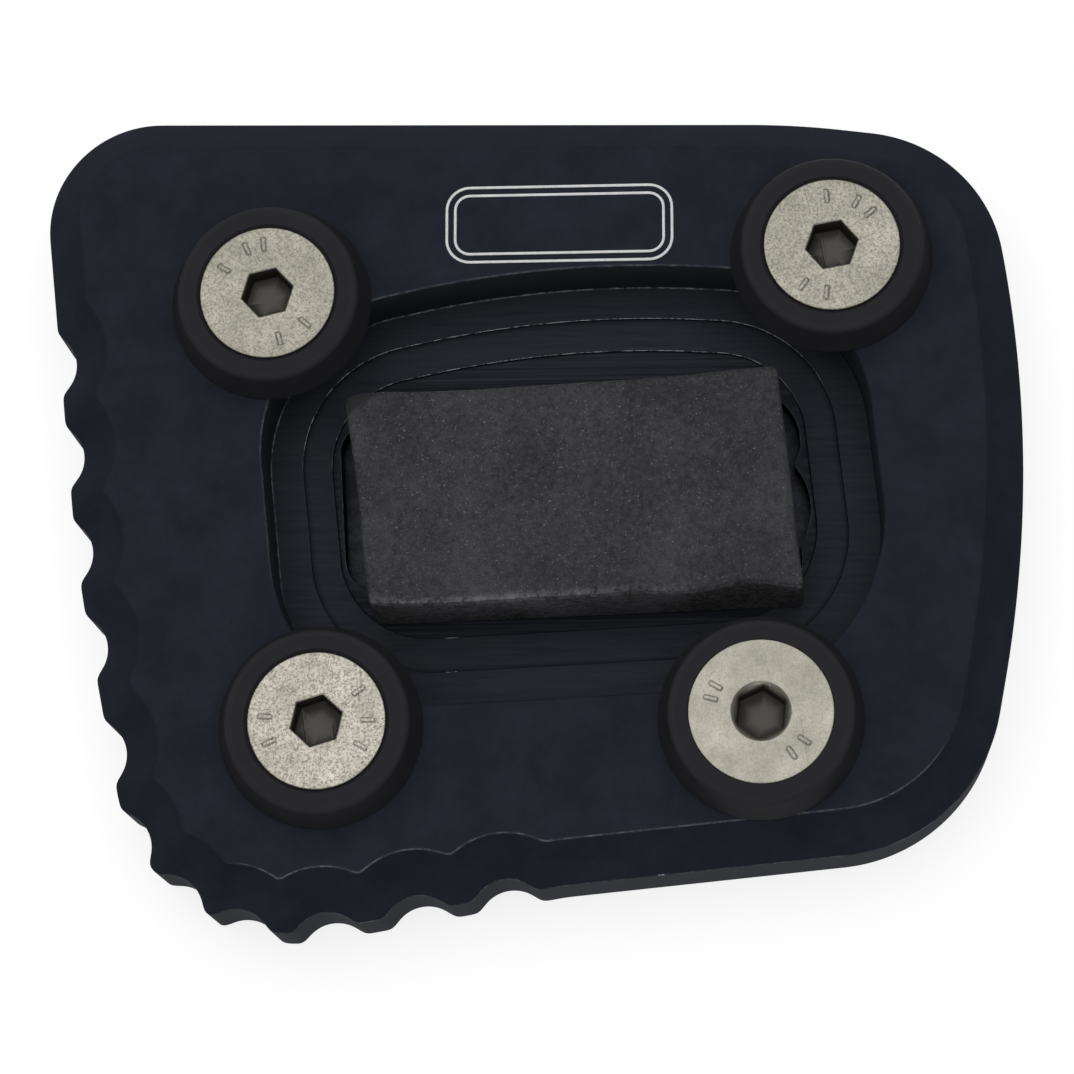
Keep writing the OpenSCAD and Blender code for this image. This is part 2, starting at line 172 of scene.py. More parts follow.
@dataclass(frozen=True)
class Outline:
    """A closed anticlockwise outline with rounded corners, and round cutters that alter it.

    Attributes:
        corners: Array (n, 2), anticlockwise.
        radii: Radius of each corner.
        step: Distance between points along it.
        bites: Array (m, 2) of centres of circles outside it that bite into it.
        bite_r: Radius of those circles.
        bulges: Array (q, 2) of centres of circles inside it that bulge out of it.
        bulge_r: Radius of each of those circles.
        soft: Reach of the soft blend between the edge and a bite.
        eased: How many times each ring is averaged along itself, which rounds the teeth.
    """

    corners: np.ndarray
    radii: np.ndarray
    step: float = 0.3
    bites: np.ndarray = field(default_factory=lambda: np.zeros((0, 2)))
    bite_r: float = 1.0
    bulges: np.ndarray = field(default_factory=lambda: np.zeros((0, 2)))
    bulge_r: np.ndarray = field(default_factory=lambda: np.zeros(0))
    soft: float = 0.0
    eased: int = 0

    def edge_normals(self) -> np.ndarray:
        """Inward normal of each edge; edge i runs from corner i to the next."""
        return left_of(unit(np.roll(self.corners, -1, axis=0) - self.corners))

    def moved_in(self, distances: np.ndarray) -> np.ndarray:
        """Corners with each edge moved in by its own distance.

        Each new corner is where its two moved edges' lines cross.

        Args:
            distances: Distance of each edge.

        Returns:
            Array (n, 2).
        """
        after = self.edge_normals()
        before = np.roll(after, 1, axis=0)
        d1 = np.asarray(distances, float)
        d0 = np.roll(d1, 1)
        det = before[:, 0] * after[:, 1] - before[:, 1] * after[:, 0]
        x = (d0 * after[:, 1] - d1 * before[:, 1]) / det
        y = (d1 * before[:, 0] - d0 * after[:, 0]) / det
        return self.corners + np.stack([x, y], axis=-1)

    def points(self) -> tuple[np.ndarray, np.ndarray, int]:
        """Points along the outline and their inward normals.

        On a corner the normal turns evenly from one edge's to the next, and the point lies radius
        from the arc's centre, against that normal. On an edge the points are evenly spaced.

        Returns:
            Points (k, 2), inward normals (k, 2), and the index where the first corner's arc ends.
        """
        after = self.edge_normals()
        before = np.roll(after, 1, axis=0)
        arcs: list[np.ndarray] = []
        turns: list[np.ndarray] = []
        for p, n0, n1, radius in zip(self.corners, before, after, self.radii):
            bend = np.sign(n0[0] * n1[1] - n0[1] * n1[0])
            sweep = math.acos(float(np.clip(n0 @ n1, -1.0, 1.0)))
            middle = unit(n0 + n1)
            centre = p + middle * bend * radius / (middle @ n0)
            steps = max(4, math.ceil(radius * sweep / self.step))
            normal = turned(n0, bend * sweep * np.linspace(0.0, 1.0, steps + 1))
            arcs.append(centre - bend * radius * normal)
            turns.append(normal)
        out: list[np.ndarray] = []
        normals: list[np.ndarray] = []
        for i, (arc, normal) in enumerate(zip(arcs, turns)):
            to = arcs[(i + 1) % len(arcs)][0]
            steps = max(1, math.ceil(np.linalg.norm(to - arc[-1]) / self.step))
            t = np.linspace(0.0, 1.0, steps + 1)[1:-1, None]
            out += [arc, arc[-1] + (to - arc[-1]) * t]
            normals += [normal, np.repeat(after[i][None], steps - 1, axis=0)]
        return np.concatenate(out), np.concatenate(normals), len(arcs[0]) - 1

    def rings(self, insets: np.ndarray) -> np.ndarray:
        """The outline moved in by each inset, with every cutter's radius changed by as much.

        A point moves along its normal by the soft maximum of the inset and of how deep the nearest
        bite reaches there: out + sqrt(r squared - off squared), where out and off are the centre's
        distances along and across the normal. A bulge moves it outwards by the same rule. Easing
        then puts each point at a quarter of its two neighbours' sum plus half of its own place.

        Args:
            insets: Array (k,) of distances, positive inwards.

        Returns:
            Array (k, points, 2).
        """
        base, normal, _ = self.points()
        d = np.asarray(insets, float)[:, None]
        way = np.repeat(d, len(base), axis=1)
        for c in self.bites:
            v = c - base
            out = np.sum(v * normal, axis=-1)
            off = np.sum(v * v, axis=-1) - out * out
            r = self.bite_r + d
            near = (out < 0) & (off < r * r) & (out * out + off < 4 * r * r)
            deep = np.where(near, out + np.sqrt(np.clip(r * r - off, 0.0, None)), -r)
            way = soft_max(way, deep, np.clip(self.soft - d, 0.0, None))
        for c, radius in zip(self.bulges, self.bulge_r):
            v = c - base
            out = np.sum(v * normal, axis=-1)
            off = np.sum(v * v, axis=-1) - out * out
            r = radius - d
            near = (out > 0) & (off < r * r) & (out < radius)
            far = np.where(near, np.sqrt(np.clip(r * r - off, 0.0, None)) - out, -radius)
            way = -np.maximum(-way, far)
        flat = base + normal * way[..., None]
        for _ in range(self.eased):
            flat = (np.roll(flat, 1, axis=1) + 2 * flat + np.roll(flat, -1, axis=1)) / 4
        return flat

    def carry(self, profile: Profile) -> np.ndarray:
        """The profile carried round: each point (inset, height) gives one ring at that height.

        Args:
            profile: Points (inset, height).

        Returns:
            Array (profile points, outline points, 3).
        """
        return lifted(self.rings(profile.points[:, 0]), profile.points[:, 1])


def lifted(rings: np.ndarray, heights: np.ndarray) -> np.ndarray:
    """Plan rings (k, points, 2) put at their heights (k,)."""
    return np.concatenate([rings, np.broadcast_to(heights[:, None, None], (*rings.shape[:2], 1))], axis=-1)


def lathed(centre: np.ndarray, profile: Profile, count: int = 96) -> np.ndarray:
    """The profile turned about an upright axis: each point (radius, height) gives one circle.

    Args:
        centre: Plan place of the axis.
        profile: Points (radius, height).
        count: Points round a circle, which are the radius times (cos, sin) of even angles.

    Returns:
        Array (profile points, count, 3).
    """
    angle = np.linspace(0.0, 2 * np.pi, count, endpoint=False)
    circle = np.stack([np.cos(angle), np.sin(angle)], axis=-1)
    return lifted(centre + profile.points[:, 0, None, None] * circle, profile.points[:, 1])


# ---- meshes ----


def put(name: str, data: bpy.types.ID) -> bpy.types.Object:
    """Makes an object of the data and links it to the scene."""
    made = bpy.data.objects.new(name, data)
    bpy.context.scene.collection.objects.link(made)
    return made


class Skin:
    """One closed surface put together from grids and flat fills that share their edge points."""

    def __init__(self) -> None:
        """Starts with nothing in it."""
        self.points: list[np.ndarray] = []
        self.wear: list[np.ndarray] = []
        self.faces: list[list[int]] = []
        self.count = 0

    def keep(self, points: np.ndarray, wear: np.ndarray) -> int:
        """Adds points and returns the index of the first."""
        first = self.count
        self.points.append(points)
        self.wear.append(wear)
        self.count += len(points)
        return first

    def grid(
        self,
        points: np.ndarray,
        wear: np.ndarray | None = None,
        ends: bool = False,
        around: bool = True,
    ) -> None:
        """Adds a grid of quads.

        Args:
            points: Array (rows, columns, 3).
            wear: Array (rows,) or (rows, columns), or None for no wear.
            ends: True if the last row joins the first.
            around: True if the last column joins the first.
        """
        rows, cols = points.shape[:2]
        worn = np.zeros((rows, cols)) if wear is None else np.asarray(wear, float)
        worn = np.broadcast_to(worn[:, None] if worn.ndim == 1 else worn, (rows, cols))
        first = self.keep(points.reshape(-1, 3), worn.reshape(-1))
        index = np.arange(rows * cols).reshape(rows, cols) + first
        low = index if ends else index[:-1]
        high = np.roll(index, -1, axis=0) if ends else index[1:]
        quads = [low, np.roll(low, -1, axis=1), np.roll(high, -1, axis=1), high]
        if not around:
            quads = [q[:, :-1] for q in quads]
        self.faces += np.stack(quads, axis=-1).reshape(-1, 4).tolist()

    def flat(self, loops: list[np.ndarray], height: float, wear: float = 0.0) -> None:
        """Fills the level area inside the first loop and outside the others.

        Args:
            loops: Plan points of each loop.
            height: Level of the area.
            wear: Wear all over it.
        """
        rings = [np.concatenate([p, np.full((len(p), 1), height)], axis=1) for p in loops]
        first = self.keep(np.concatenate(rings), np.full(sum(map(len, rings)), wear))
        fill = tessellate_polygon([[Vector(p) for p in ring] for ring in rings])
        self.faces += (np.array(fill, int) + first).tolist()

    def build(self, name: str) -> bpy.types.Object:
        """Makes the mesh: points that coincide are merged and faces turned outwards.

        Args:
            name: Name of the object.

        Returns:
            The object, at the origin, with the wear, painted light and painted shade in a point attribute
            named wear.
        """
        mesh = bpy.data.meshes.new(name)
        mesh.from_pydata((np.concatenate(self.points) * MM).tolist(), [], self.faces)
        mesh.attributes.new("wear", "FLOAT", "POINT").data.foreach_set(
            "value", np.concatenate(self.wear).astype(np.float32)
        )
        shell = bmesh.new()
        shell.from_mesh(mesh)
        bmesh.ops.remove_doubles(shell, verts=shell.verts, dist=MERGE)
        bmesh.ops.dissolve_degenerate(shell, edges=shell.edges, dist=MERGE)
        bmesh.ops.recalc_face_normals(shell, faces=shell.faces)
        loose = sum(1 for e in shell.edges if not e.is_manifold)
        if loose:
            LOG.warning("%s: %d open edges", name, loose)
        shell.to_mesh(mesh)
        shell.free()
        mesh.polygons.foreach_set("use_smooth", np.ones(len(mesh.polygons), bool))
        return put(name, mesh)


def dress(piece: bpy.types.Object, material: bpy.types.Material, slot: str, *nodes: str) -> None:
    """Gives a piece its material and its place in the frame.

    Args:
        piece: The finished object.
        material: Its material.
        slot: The record's material slot that it belongs to; not used.
        *nodes: CAD nodes that it stands for.
    """
    piece.data.materials.append(material)
    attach(piece, "root")
    if nodes:
        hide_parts(*nodes)
    LOG.info("%s: %d faces, for %s", piece.name, len(piece.data.polygons), ", ".join(nodes) or "nothing")


# ---- finishes ----


def linear(colour: str) -> tuple[float, float, float, float]:
    """An sRGB hex colour as linear values: ((c + 0.055) / 1.055) to the power 2.4, or c / 12.92."""
    parts = [int(colour[i : i + 2], 16) / 255.0 for i in (0, 2, 4)]
    values = [c / 12.92 if c <= 0.04045 else ((c + 0.055) / 1.055) ** 2.4 for c in parts]
    return (values[0], values[1], values[2], 1.0)


def scale(size: float) -> float:
    """Texture scale that gives features of a size in mm: 1 over that size in metres."""
    return 1 / (size * MM)


def add(
    tree: bpy.types.NodeTree,
    kind: str,
    inputs: dict[str | int, Value] | None = None,
    **settings: object,
) -> bpy.types.Node:
    """Adds a node, sets its settings and gives each input a value or a link.

    Args:
        tree: The tree to add to.
        kind: The node's type name, less the ShaderNode that it starts with.
        inputs: Input name or number to a value, to a socket that feeds it, or to a node whose first
            output in use feeds it.
        **settings: The node's own settings.

    Returns:
        The node.
    """
    made = tree.nodes.new(f"ShaderNode{kind}")
    for name, value in settings.items():
        setattr(made, name, value)
    for name, value in (inputs or {}).items():
        if isinstance(value, bpy.types.Node):
            value = next(output for output in value.outputs if output.enabled)
        if isinstance(value, bpy.types.NodeSocket):
            tree.links.new(value, made.inputs[name])
        else:
            made.inputs[name].default_value = value
    return made


def blank(name: str) -> tuple[bpy.types.Material, bpy.types.NodeTree, bpy.types.NodeSocket]:
    """A new material, its emptied node tree, and the Object coordinate in metres."""
    made = bpy.data.materials.new(name)
    made.use_nodes = True
    tree = made.node_tree
    tree.nodes.clear()
    return made, tree, add(tree, "TexCoord").outputs["Object"]


@dataclass(frozen=True)
class AnodisedAluminium:
    """Milled aluminium, blasted and dyed black: a dull blue-black that hardly mirrors anything.

    Attributes:
        name: Name of the material.
        dye: Colour of the dyed oxide.
        pale: Colour where the dye took less.
        seat: Greyer colour of the seat, where the cutter's marks scatter light.
        bare_metal_and_light: Metal that shows on worn edges; the same colour paints highlights on edges and
            light on the plate's side, the seat's wall and the pocket's floor.
        painted_shade: Colour of painted shade on the bevel, in the terraces' inner corners and on edges of
            the shaded sides, which the wear attribute gives as negative.
        roughness: Roughness of the blasted skin.
        mirror: Specular level, very low because the blasted oxide scatters nearly all light.
        cloud: Size in mm of the clouds in the dye.
        seat_top: Height in mm under which a surface belongs to the seat.
        cut: Distance in mm between the cutter's lines on the seat's floor.
        run: Length in mm of those lines.
        patch: Size in mm of the patches in which bare metal shows.
        slight: Wear up to which the metal shows through evenly; what is over it shows in patches.
        even: Share of the metal that shows per unit of slight wear.
        grit: Size in mm of the blasting's grain, coarser than the real 0.1 so that it shows.
    """

    name: str = "anodised_aluminium"
    dye: str = "20232b"
    pale: str = "282a34"
    seat: str = "303238"
    bare_metal_and_light: str = "a4a7ad"
    painted_shade: str = "0e0f13"
    roughness: float = 0.7
    mirror: float = 0.03
    cloud: float = 6.0
    seat_top: float = 6.2
    cut: float = 0.35
    run: float = 7.0
    patch: float = 1.1
    slight: float = 0.13
    even: float = 0.36
    grit: float = 0.22

    def material(self) -> bpy.types.Material:
        """Builds the material.

        Returns:
            Clouded dye, cutter's lines on low level faces, bare metal, painted light and painted shade.
        """
        made, tree, place = blank(self.name)
        cloud = add(
            tree, "TexNoise", {"Vector": place, "Scale": scale(self.cloud), "Detail": 6.0, "Roughness": 0.75}
        )
        uneven = add(tree, "MapRange", {"Value": cloud, "From Min": 0.36, "From Max": 0.64})
        dyed = add(
            tree, "Mix", {SHARE: uneven, UNDER: linear(self.dye), OVER: linear(self.pale)}, data_type="RGBA"
        )
        # The cutter's lines show where a face is level and under the seat's top
        height = add(tree, "SeparateXYZ", {0: place}).outputs["Z"]
        seat_range = {"From Min": self.seat_top * MM, "From Max": (self.seat_top - 0.6) * MM}
        in_seat = add(tree, "MapRange", {"Value": height, **seat_range})
        normal = add(tree, "SeparateXYZ", {0: add(tree, "NewGeometry").outputs["Normal"]})
        level = add(tree, "MapRange", {"Value": normal.outputs["Z"], "From Min": 0.9, "From Max": 0.99})
        milled = add(tree, "Math", {0: in_seat, 1: level}, operation="MULTIPLY")
        stretch = (scale(self.run), scale(self.cut), scale(self.run))
        stretched = add(tree, "Mapping", {"Vector": place, "Scale": stretch})
        lines = add(tree, "TexNoise", {"Vector": stretched, "Scale": 1.0, "Detail": 3.0, "Roughness": 0.7})
        streak_range = {"From Min": 0.3, "From Max": 0.75, "To Min": 0.25, "To Max": 1.3}
        streak = add(tree, "MapRange", {"Value": lines, **streak_range})
        seat_share = add(tree, "Math", {0: milled, 1: streak}, operation="MULTIPLY", use_clamp=True)
        toned = add(tree, "Mix", {SHARE: seat_share, UNDER: dyed, OVER: linear(self.seat)}, data_type="RGBA")
        # The wear attribute holds bare-metal wear and painted light as positive values, painted shade as
        # negative ones
        worn = add(tree, "Attribute", attribute_name="wear").outputs["Fac"]
        patches = add(
            tree, "TexNoise", {"Vector": place, "Scale": scale(self.patch), "Detail": 4.0, "Roughness": 0.8}
        )
        chance = add(tree, "MapRange", {"Value": patches, "From Min": 0.44, "From Max": 0.66})
        slight = add(tree, "Math", {0: worn, 1: self.slight}, operation="MINIMUM")
        strong = add(tree, "Math", {0: worn, 1: slight}, operation="SUBTRACT")
        patchy = add(tree, "Math", {0: strong, 1: chance}, operation="MULTIPLY")
        both = {0: slight, 1: self.even, 2: patchy}
        bare_metal_and_light = add(tree, "Math", both, operation="MULTIPLY_ADD", use_clamp=True)
        rubbed = add(tree, "Mix", {SHARE: bare_metal_and_light, UNDER: toned, OVER: linear(self.bare_metal_and_light)}, data_type="RGBA")
        # Painted shade from negative wear
        painted_shade_share = add(tree, "Math", {0: worn, 1: -1.0}, operation="MULTIPLY", use_clamp=True)
        base = add(tree, "Mix", {SHARE: painted_shade_share, UNDER: rubbed, OVER: linear(self.painted_shade)}, data_type="RGBA")
        grain = add(tree, "TexNoise", {"Vector": place, "Scale": scale(self.grit), "Detail": 2.0})
        blasted = add(tree, "Bump", {"Strength": 0.12, "Distance": 0.02 * MM, "Height": grain})
        cut_height = add(tree, "Math", {0: lines, 1: milled}, operation="MULTIPLY")
        cut_lines = add(
            tree, "Bump", {"Strength": 0.5, "Distance": 0.03 * MM, "Height": cut_height, "Normal": blasted}
        )
        dullest, shiniest = self.roughness - 0.05, self.roughness + 0.05
        shine = add(tree, "MapRange", {"Value": cloud, "To Min": dullest, "To Max": shiniest})
        look = {"Base Color": base, "Roughness": shine, "Specular IOR Level": self.mirror}
        look["Normal"] = cut_lines
        add(tree, "OutputMaterial", {"Surface": add(tree, "BsdfPrincipled", look)})
        return made


@dataclass(frozen=True)
class CellularRubber:
    """Closed-cell rubber foam, cut from sheet: dull charcoal with fine pale specks where cells are cut.

    Attributes:
        name: Name of the material.
        skin: Main colour.
        pit_and_shade: Colour inside the cells, and of the painted shade on the slice at the top left corner.
        fleck_and_light: Colour of the specks, and of the painted light on the top's lower edge and the
            sides.
        cell: Size in mm of a cell, coarser than the real 0.15 so that it shows.
        mottle: Size in mm of the fine mottling.
        cloud: Size in mm of the soft clouds.
    """

    name: str = "cellular_rubber"
    skin: str = "464648"
    pit_and_shade: str = "2e2e30"
    fleck_and_light: str = "949498"
    cell: float = 0.26
    mottle: float = 0.55
    cloud: float = 7.0

    def material(self) -> bpy.types.Material:
        """Builds the material.

        Returns:
            Mottled charcoal with cells as bumps, specks, and cut or closed cells.
        """
        made, tree, place = blank(self.name)
        mottle = add(
            tree, "TexNoise", {"Vector": place, "Scale": scale(self.mottle), "Detail": 3.0, "Roughness": 0.9}
        )
        cloud = add(tree, "TexNoise", {"Vector": place, "Scale": scale(self.cloud), "Detail": 2.0})
        clouded = add(tree, "Math", {0: cloud, 1: 0.45, 2: mottle}, operation="MULTIPLY_ADD")
        mottled = add(tree, "MapRange", {"Value": clouded, "From Min": 0.56, "From Max": 0.92})
        body = add(
            tree, "Mix", {SHARE: mottled, UNDER: linear(self.pit_and_shade), OVER: linear(self.skin)}, data_type="RGBA"
        )
        fine = add(tree, "TexNoise", {"Vector": place, "Scale": scale(self.cell * 0.8), "Detail": 3.0})
        speck = add(tree, "MapRange", {"Value": fine, "From Min": 0.64, "From Max": 0.86})
        flecked = add(tree, "Mix", {SHARE: speck, UNDER: body, OVER: linear(self.fleck_and_light)}, data_type="RGBA")
        # Positive wear is painted light on the top's lower edge and on the sides, negative wear is painted
        # shade on the slice at the top left corner
        worn = add(tree, "Attribute", attribute_name="wear").outputs["Fac"]
        painted_light_share = add(tree, "Math", {0: worn, 1: mottled}, operation="MULTIPLY")
        edged = add(tree, "Mix", {SHARE: painted_light_share, UNDER: flecked, OVER: linear(self.fleck_and_light)}, data_type="RGBA")
        # Painted shade on the slice at the top left corner
        closed = add(tree, "Math", {0: worn, 1: -1.0}, operation="MULTIPLY", use_clamp=True)
        base = add(tree, "Mix", {SHARE: closed, UNDER: edged, OVER: linear(self.pit_and_shade)}, data_type="RGBA")
        cells = add(tree, "TexVoronoi", {"Vector": place, "Scale": scale(self.cell)})
        pores = add(tree, "Bump", {"Strength": 0.35, "Distance": 0.08 * MM, "Height": cells})
        look = {"Base Color": base, "Roughness": 0.88, "Specular IOR Level": 0.1, "Normal": pores}
        add(tree, "OutputMaterial", {"Surface": add(tree, "BsdfPrincipled", look)})
        return made


@dataclass(frozen=True)
class TurnedAcetal:
    """Black acetal turned on a lathe: near-black satin with a soft bloom.

    Attributes:
        name: Name of the material.
        base: Main colour.
        dusty: Colour of the faint bloom on it.
        rubbed: Colour that worn edges go towards.
        bloom: Size in mm of the bloom's clouds.
        grain: Size in mm of the surface's grain, coarser than the real one so that it shows.
    """

    name: str = "turned_acetal"
    base: str = "232325"
    dusty: str = "2b2b2e"
    rubbed: str = "4a4a4d"
    bloom: float = 3.0
    grain: float = 0.25

    def material(self) -> bpy.types.Material:
        """Builds the material.

        Returns:
            Satin black with a cloudy bloom and faintly worn edges.
        """
        made, tree, place = blank(self.name)
        bloom = add(
            tree, "TexNoise", {"Vector": place, "Scale": scale(self.bloom), "Detail": 5.0, "Roughness": 0.65}
        )
        dull = add(
            tree, "Mix", {SHARE: bloom, UNDER: linear(self.base), OVER: linear(self.dusty)}, data_type="RGBA"
        )
        worn = add(tree, "Attribute", attribute_name="wear").outputs["Fac"]
        rub = add(tree, "Math", {0: worn, 1: 0.12}, operation="MULTIPLY")
        base = add(tree, "Mix", {SHARE: rub, UNDER: dull, OVER: linear(self.rubbed)}, data_type="RGBA")
        grain = add(tree, "TexNoise", {"Vector": place, "Scale": scale(self.grain), "Detail": 2.0})
        fine = add(tree, "Bump", {"Strength": 0.1, "Distance": 0.02 * MM, "Height": grain})
        look = {"Base Color": base, "Roughness": 0.55, "Specular IOR Level": 0.05, "Normal": fine}
        add(tree, "OutputMaterial", {"Surface": add(tree, "BsdfPrincipled", look)})
        return made


@dataclass(frozen=True)
class StainlessSteel:
    """Cold-headed stainless steel, tumbled: warm grey satin with a dark grain and fine scratches.

    Attributes:
        name: Name of the material.
        base: Colour of the metal.
        dull: Colour of stained patches and of the grain.
        socket_shade: Colour of the painted shade inside the socket, which the wear attribute gives as
            negative.
        roughness: Roughness of the tumbled face.
        socket_roughness: Roughness inside the socket.
        socket_shade_metal: How much of the metal's mirror is left inside the socket, which darkens it as
            painted shade.
        stain: Size in mm of the stained patches.
        grain: Size in mm of the grain that tumbling leaves, coarser than the real one so that it shows.
        sand: Share of that dark grain, from 0 to 1.
        scratch: Length and width of a scratch in mm.
        scratch_turn: Direction of the scratches, in radians.
        seed: Offset in metres that gives each screw scratches of its own.
    """

    name: str
    base: str = "bdbaae"
    dull: str = "706d63"
    socket_shade: str = "38362f"
    roughness: float = 0.42
    socket_roughness: float = 0.24
    socket_shade_metal: float = 0.4
    stain: float = 3.5
    grain: float = 0.19
    sand: float = 0.95
    scratch: tuple[float, float] = (9.0, 0.5)
    scratch_turn: float = 1.7
    seed: float = 0.0

    def material(self) -> bpy.types.Material:
        """Builds the material.

        Returns:
            Satin metal, stained and grained, with scratches and painted shade in the socket.
        """
        made, tree, place = blank(self.name)
        stain = add(
            tree, "TexNoise", {"Vector": place, "Scale": scale(self.stain), "Detail": 6.0, "Roughness": 0.7}
        )
        grain = add(
            tree, "TexNoise", {"Vector": place, "Scale": scale(self.grain), "Detail": 3.0, "Roughness": 0.8}
        )
        long, wide = self.scratch[0] * MM, self.scratch[1] * MM
        along = add(
            tree,
            "Mapping",
            {
                "Vector": place,
                "Location": (self.seed, self.seed * 0.7, 0.0),
                "Rotation": (0.0, 0.0, self.scratch_turn),
                "Scale": (long, wide, long),
            },
            vector_type="TEXTURE",
        )
        scratch = add(tree, "TexNoise", {"Vector": along, "Scale": 1.0, "Detail": 0.0, "Distortion": 0.3})
        thin = add(tree, "MapRange", {"Value": scratch, "From Min": 0.74, "From Max": 0.78})
        deep = add(tree, "Math", {0: grain, 1: thin}, operation="SUBTRACT")
        patchy = add(
            tree, "Mix", {SHARE: stain, UNDER: linear(self.dull), OVER: linear(self.base)}, data_type="RGBA"
        )
        sand_range = {"From Min": 0.38, "From Max": 0.56, "To Min": self.sand, "To Max": 0.0}
        speckle = add(tree, "MapRange", {"Value": grain, **sand_range})
        sandy = add(tree, "Mix", {SHARE: speckle, UNDER: patchy, OVER: linear(self.dull)}, data_type="RGBA")
        worn = add(tree, "Attribute", attribute_name="wear").outputs["Fac"]
        # Negative wear paints shade in the socket: a darker colour and less metal
        socket_shade_share = add(tree, "Math", {0: worn, 1: -1.0}, operation="MULTIPLY", use_clamp=True)
        base = add(tree, "Mix", {SHARE: socket_shade_share, UNDER: sandy, OVER: linear(self.socket_shade)}, data_type="RGBA")
        metal = add(tree, "MapRange", {"Value": socket_shade_share, "To Min": 1.0, "To Max": self.socket_shade_metal})
        marks = add(tree, "Bump", {"Strength": 0.6, "Distance": 0.03 * MM, "Height": deep})
        dullest, shiniest = self.roughness + 0.08, self.roughness - 0.08
        shine = add(tree, "MapRange", {"Value": stain, "To Min": dullest, "To Max": shiniest})
        rough = add(tree, "Mix", {"Factor": socket_shade_share, "A": shine, "B": self.socket_roughness})
        look = {"Base Color": base, "Metallic": metal, "Roughness": rough, "Normal": marks}
        add(tree, "OutputMaterial", {"Surface": add(tree, "BsdfPrincipled", look)})
        return made


@dataclass(frozen=True)
class PrintedInk:
    """Pad-printed white ink: a thin matt film with slightly uneven cover.

    Attributes:
        name: Name of the material.
        white: Colour of full cover.
        thin: Colour where the film is thin.
        spot: Size in mm of the thin spots.
    """

    name: str = "printed_ink"
    white: str = "f0f0f0"
    thin: str = "c4c4c6"
    spot: float = 0.6

    def material(self) -> bpy.types.Material:
        """Builds the material.

        Returns:
            Matt white with faint thin spots.
        """
        made, tree, place = blank(self.name)
        cover = add(tree, "TexNoise", {"Vector": place, "Scale": scale(self.spot), "Detail": 3.0})
        base = add(
            tree, "Mix", {SHARE: cover, UNDER: linear(self.thin), OVER: linear(self.white)}, data_type="RGBA"
        )
        look = {"Base Color": base, "Roughness": 0.6, "Specular IOR Level": 0.3}
        add(tree, "OutputMaterial", {"Surface": add(tree, "BsdfPrincipled", look)})
        return made


@dataclass(frozen=True)
class StudioPaper:
    """Seamless paper: a pale grey that keeps shadows, lifted to white for the camera and for mirrors.

    Attributes:
        name: Name of the material.
        colour: Its own colour.
        lift: Strength added for camera, glossy and transmission rays.
    """

    name: str = "studio_paper"
    colour: str = "929292"
    lift: float = 0.78

    def material(self) -> bpy.types.Material:
        """Builds the material.

        Returns:
            Matt paper plus a plain glow that only those rays see.
        """
        made, tree, _ = blank(self.name)
        rays = add(tree, "LightPath").outputs
        seen = add(tree, "Math", {0: rays["Is Camera Ray"], 1: rays["Is Glossy Ray"]}, operation="MAXIMUM")
        seen = add(tree, "Math", {0: seen, 1: rays["Is Transmission Ray"]}, operation="MAXIMUM")
        strength = add(tree, "Math", {0: seen, 1: self.lift}, operation="MULTIPLY")
        glow = add(tree, "Emission", {"Color": WHITE, "Strength": strength})
        paper = add(tree, "BsdfDiffuse", {"Color": linear(self.colour), "Roughness": 0.0})
        both = add(tree, "AddShader", {0: paper, 1: glow})
        add(tree, "OutputMaterial", {"Surface": both})
        return made


# ---- the object ----


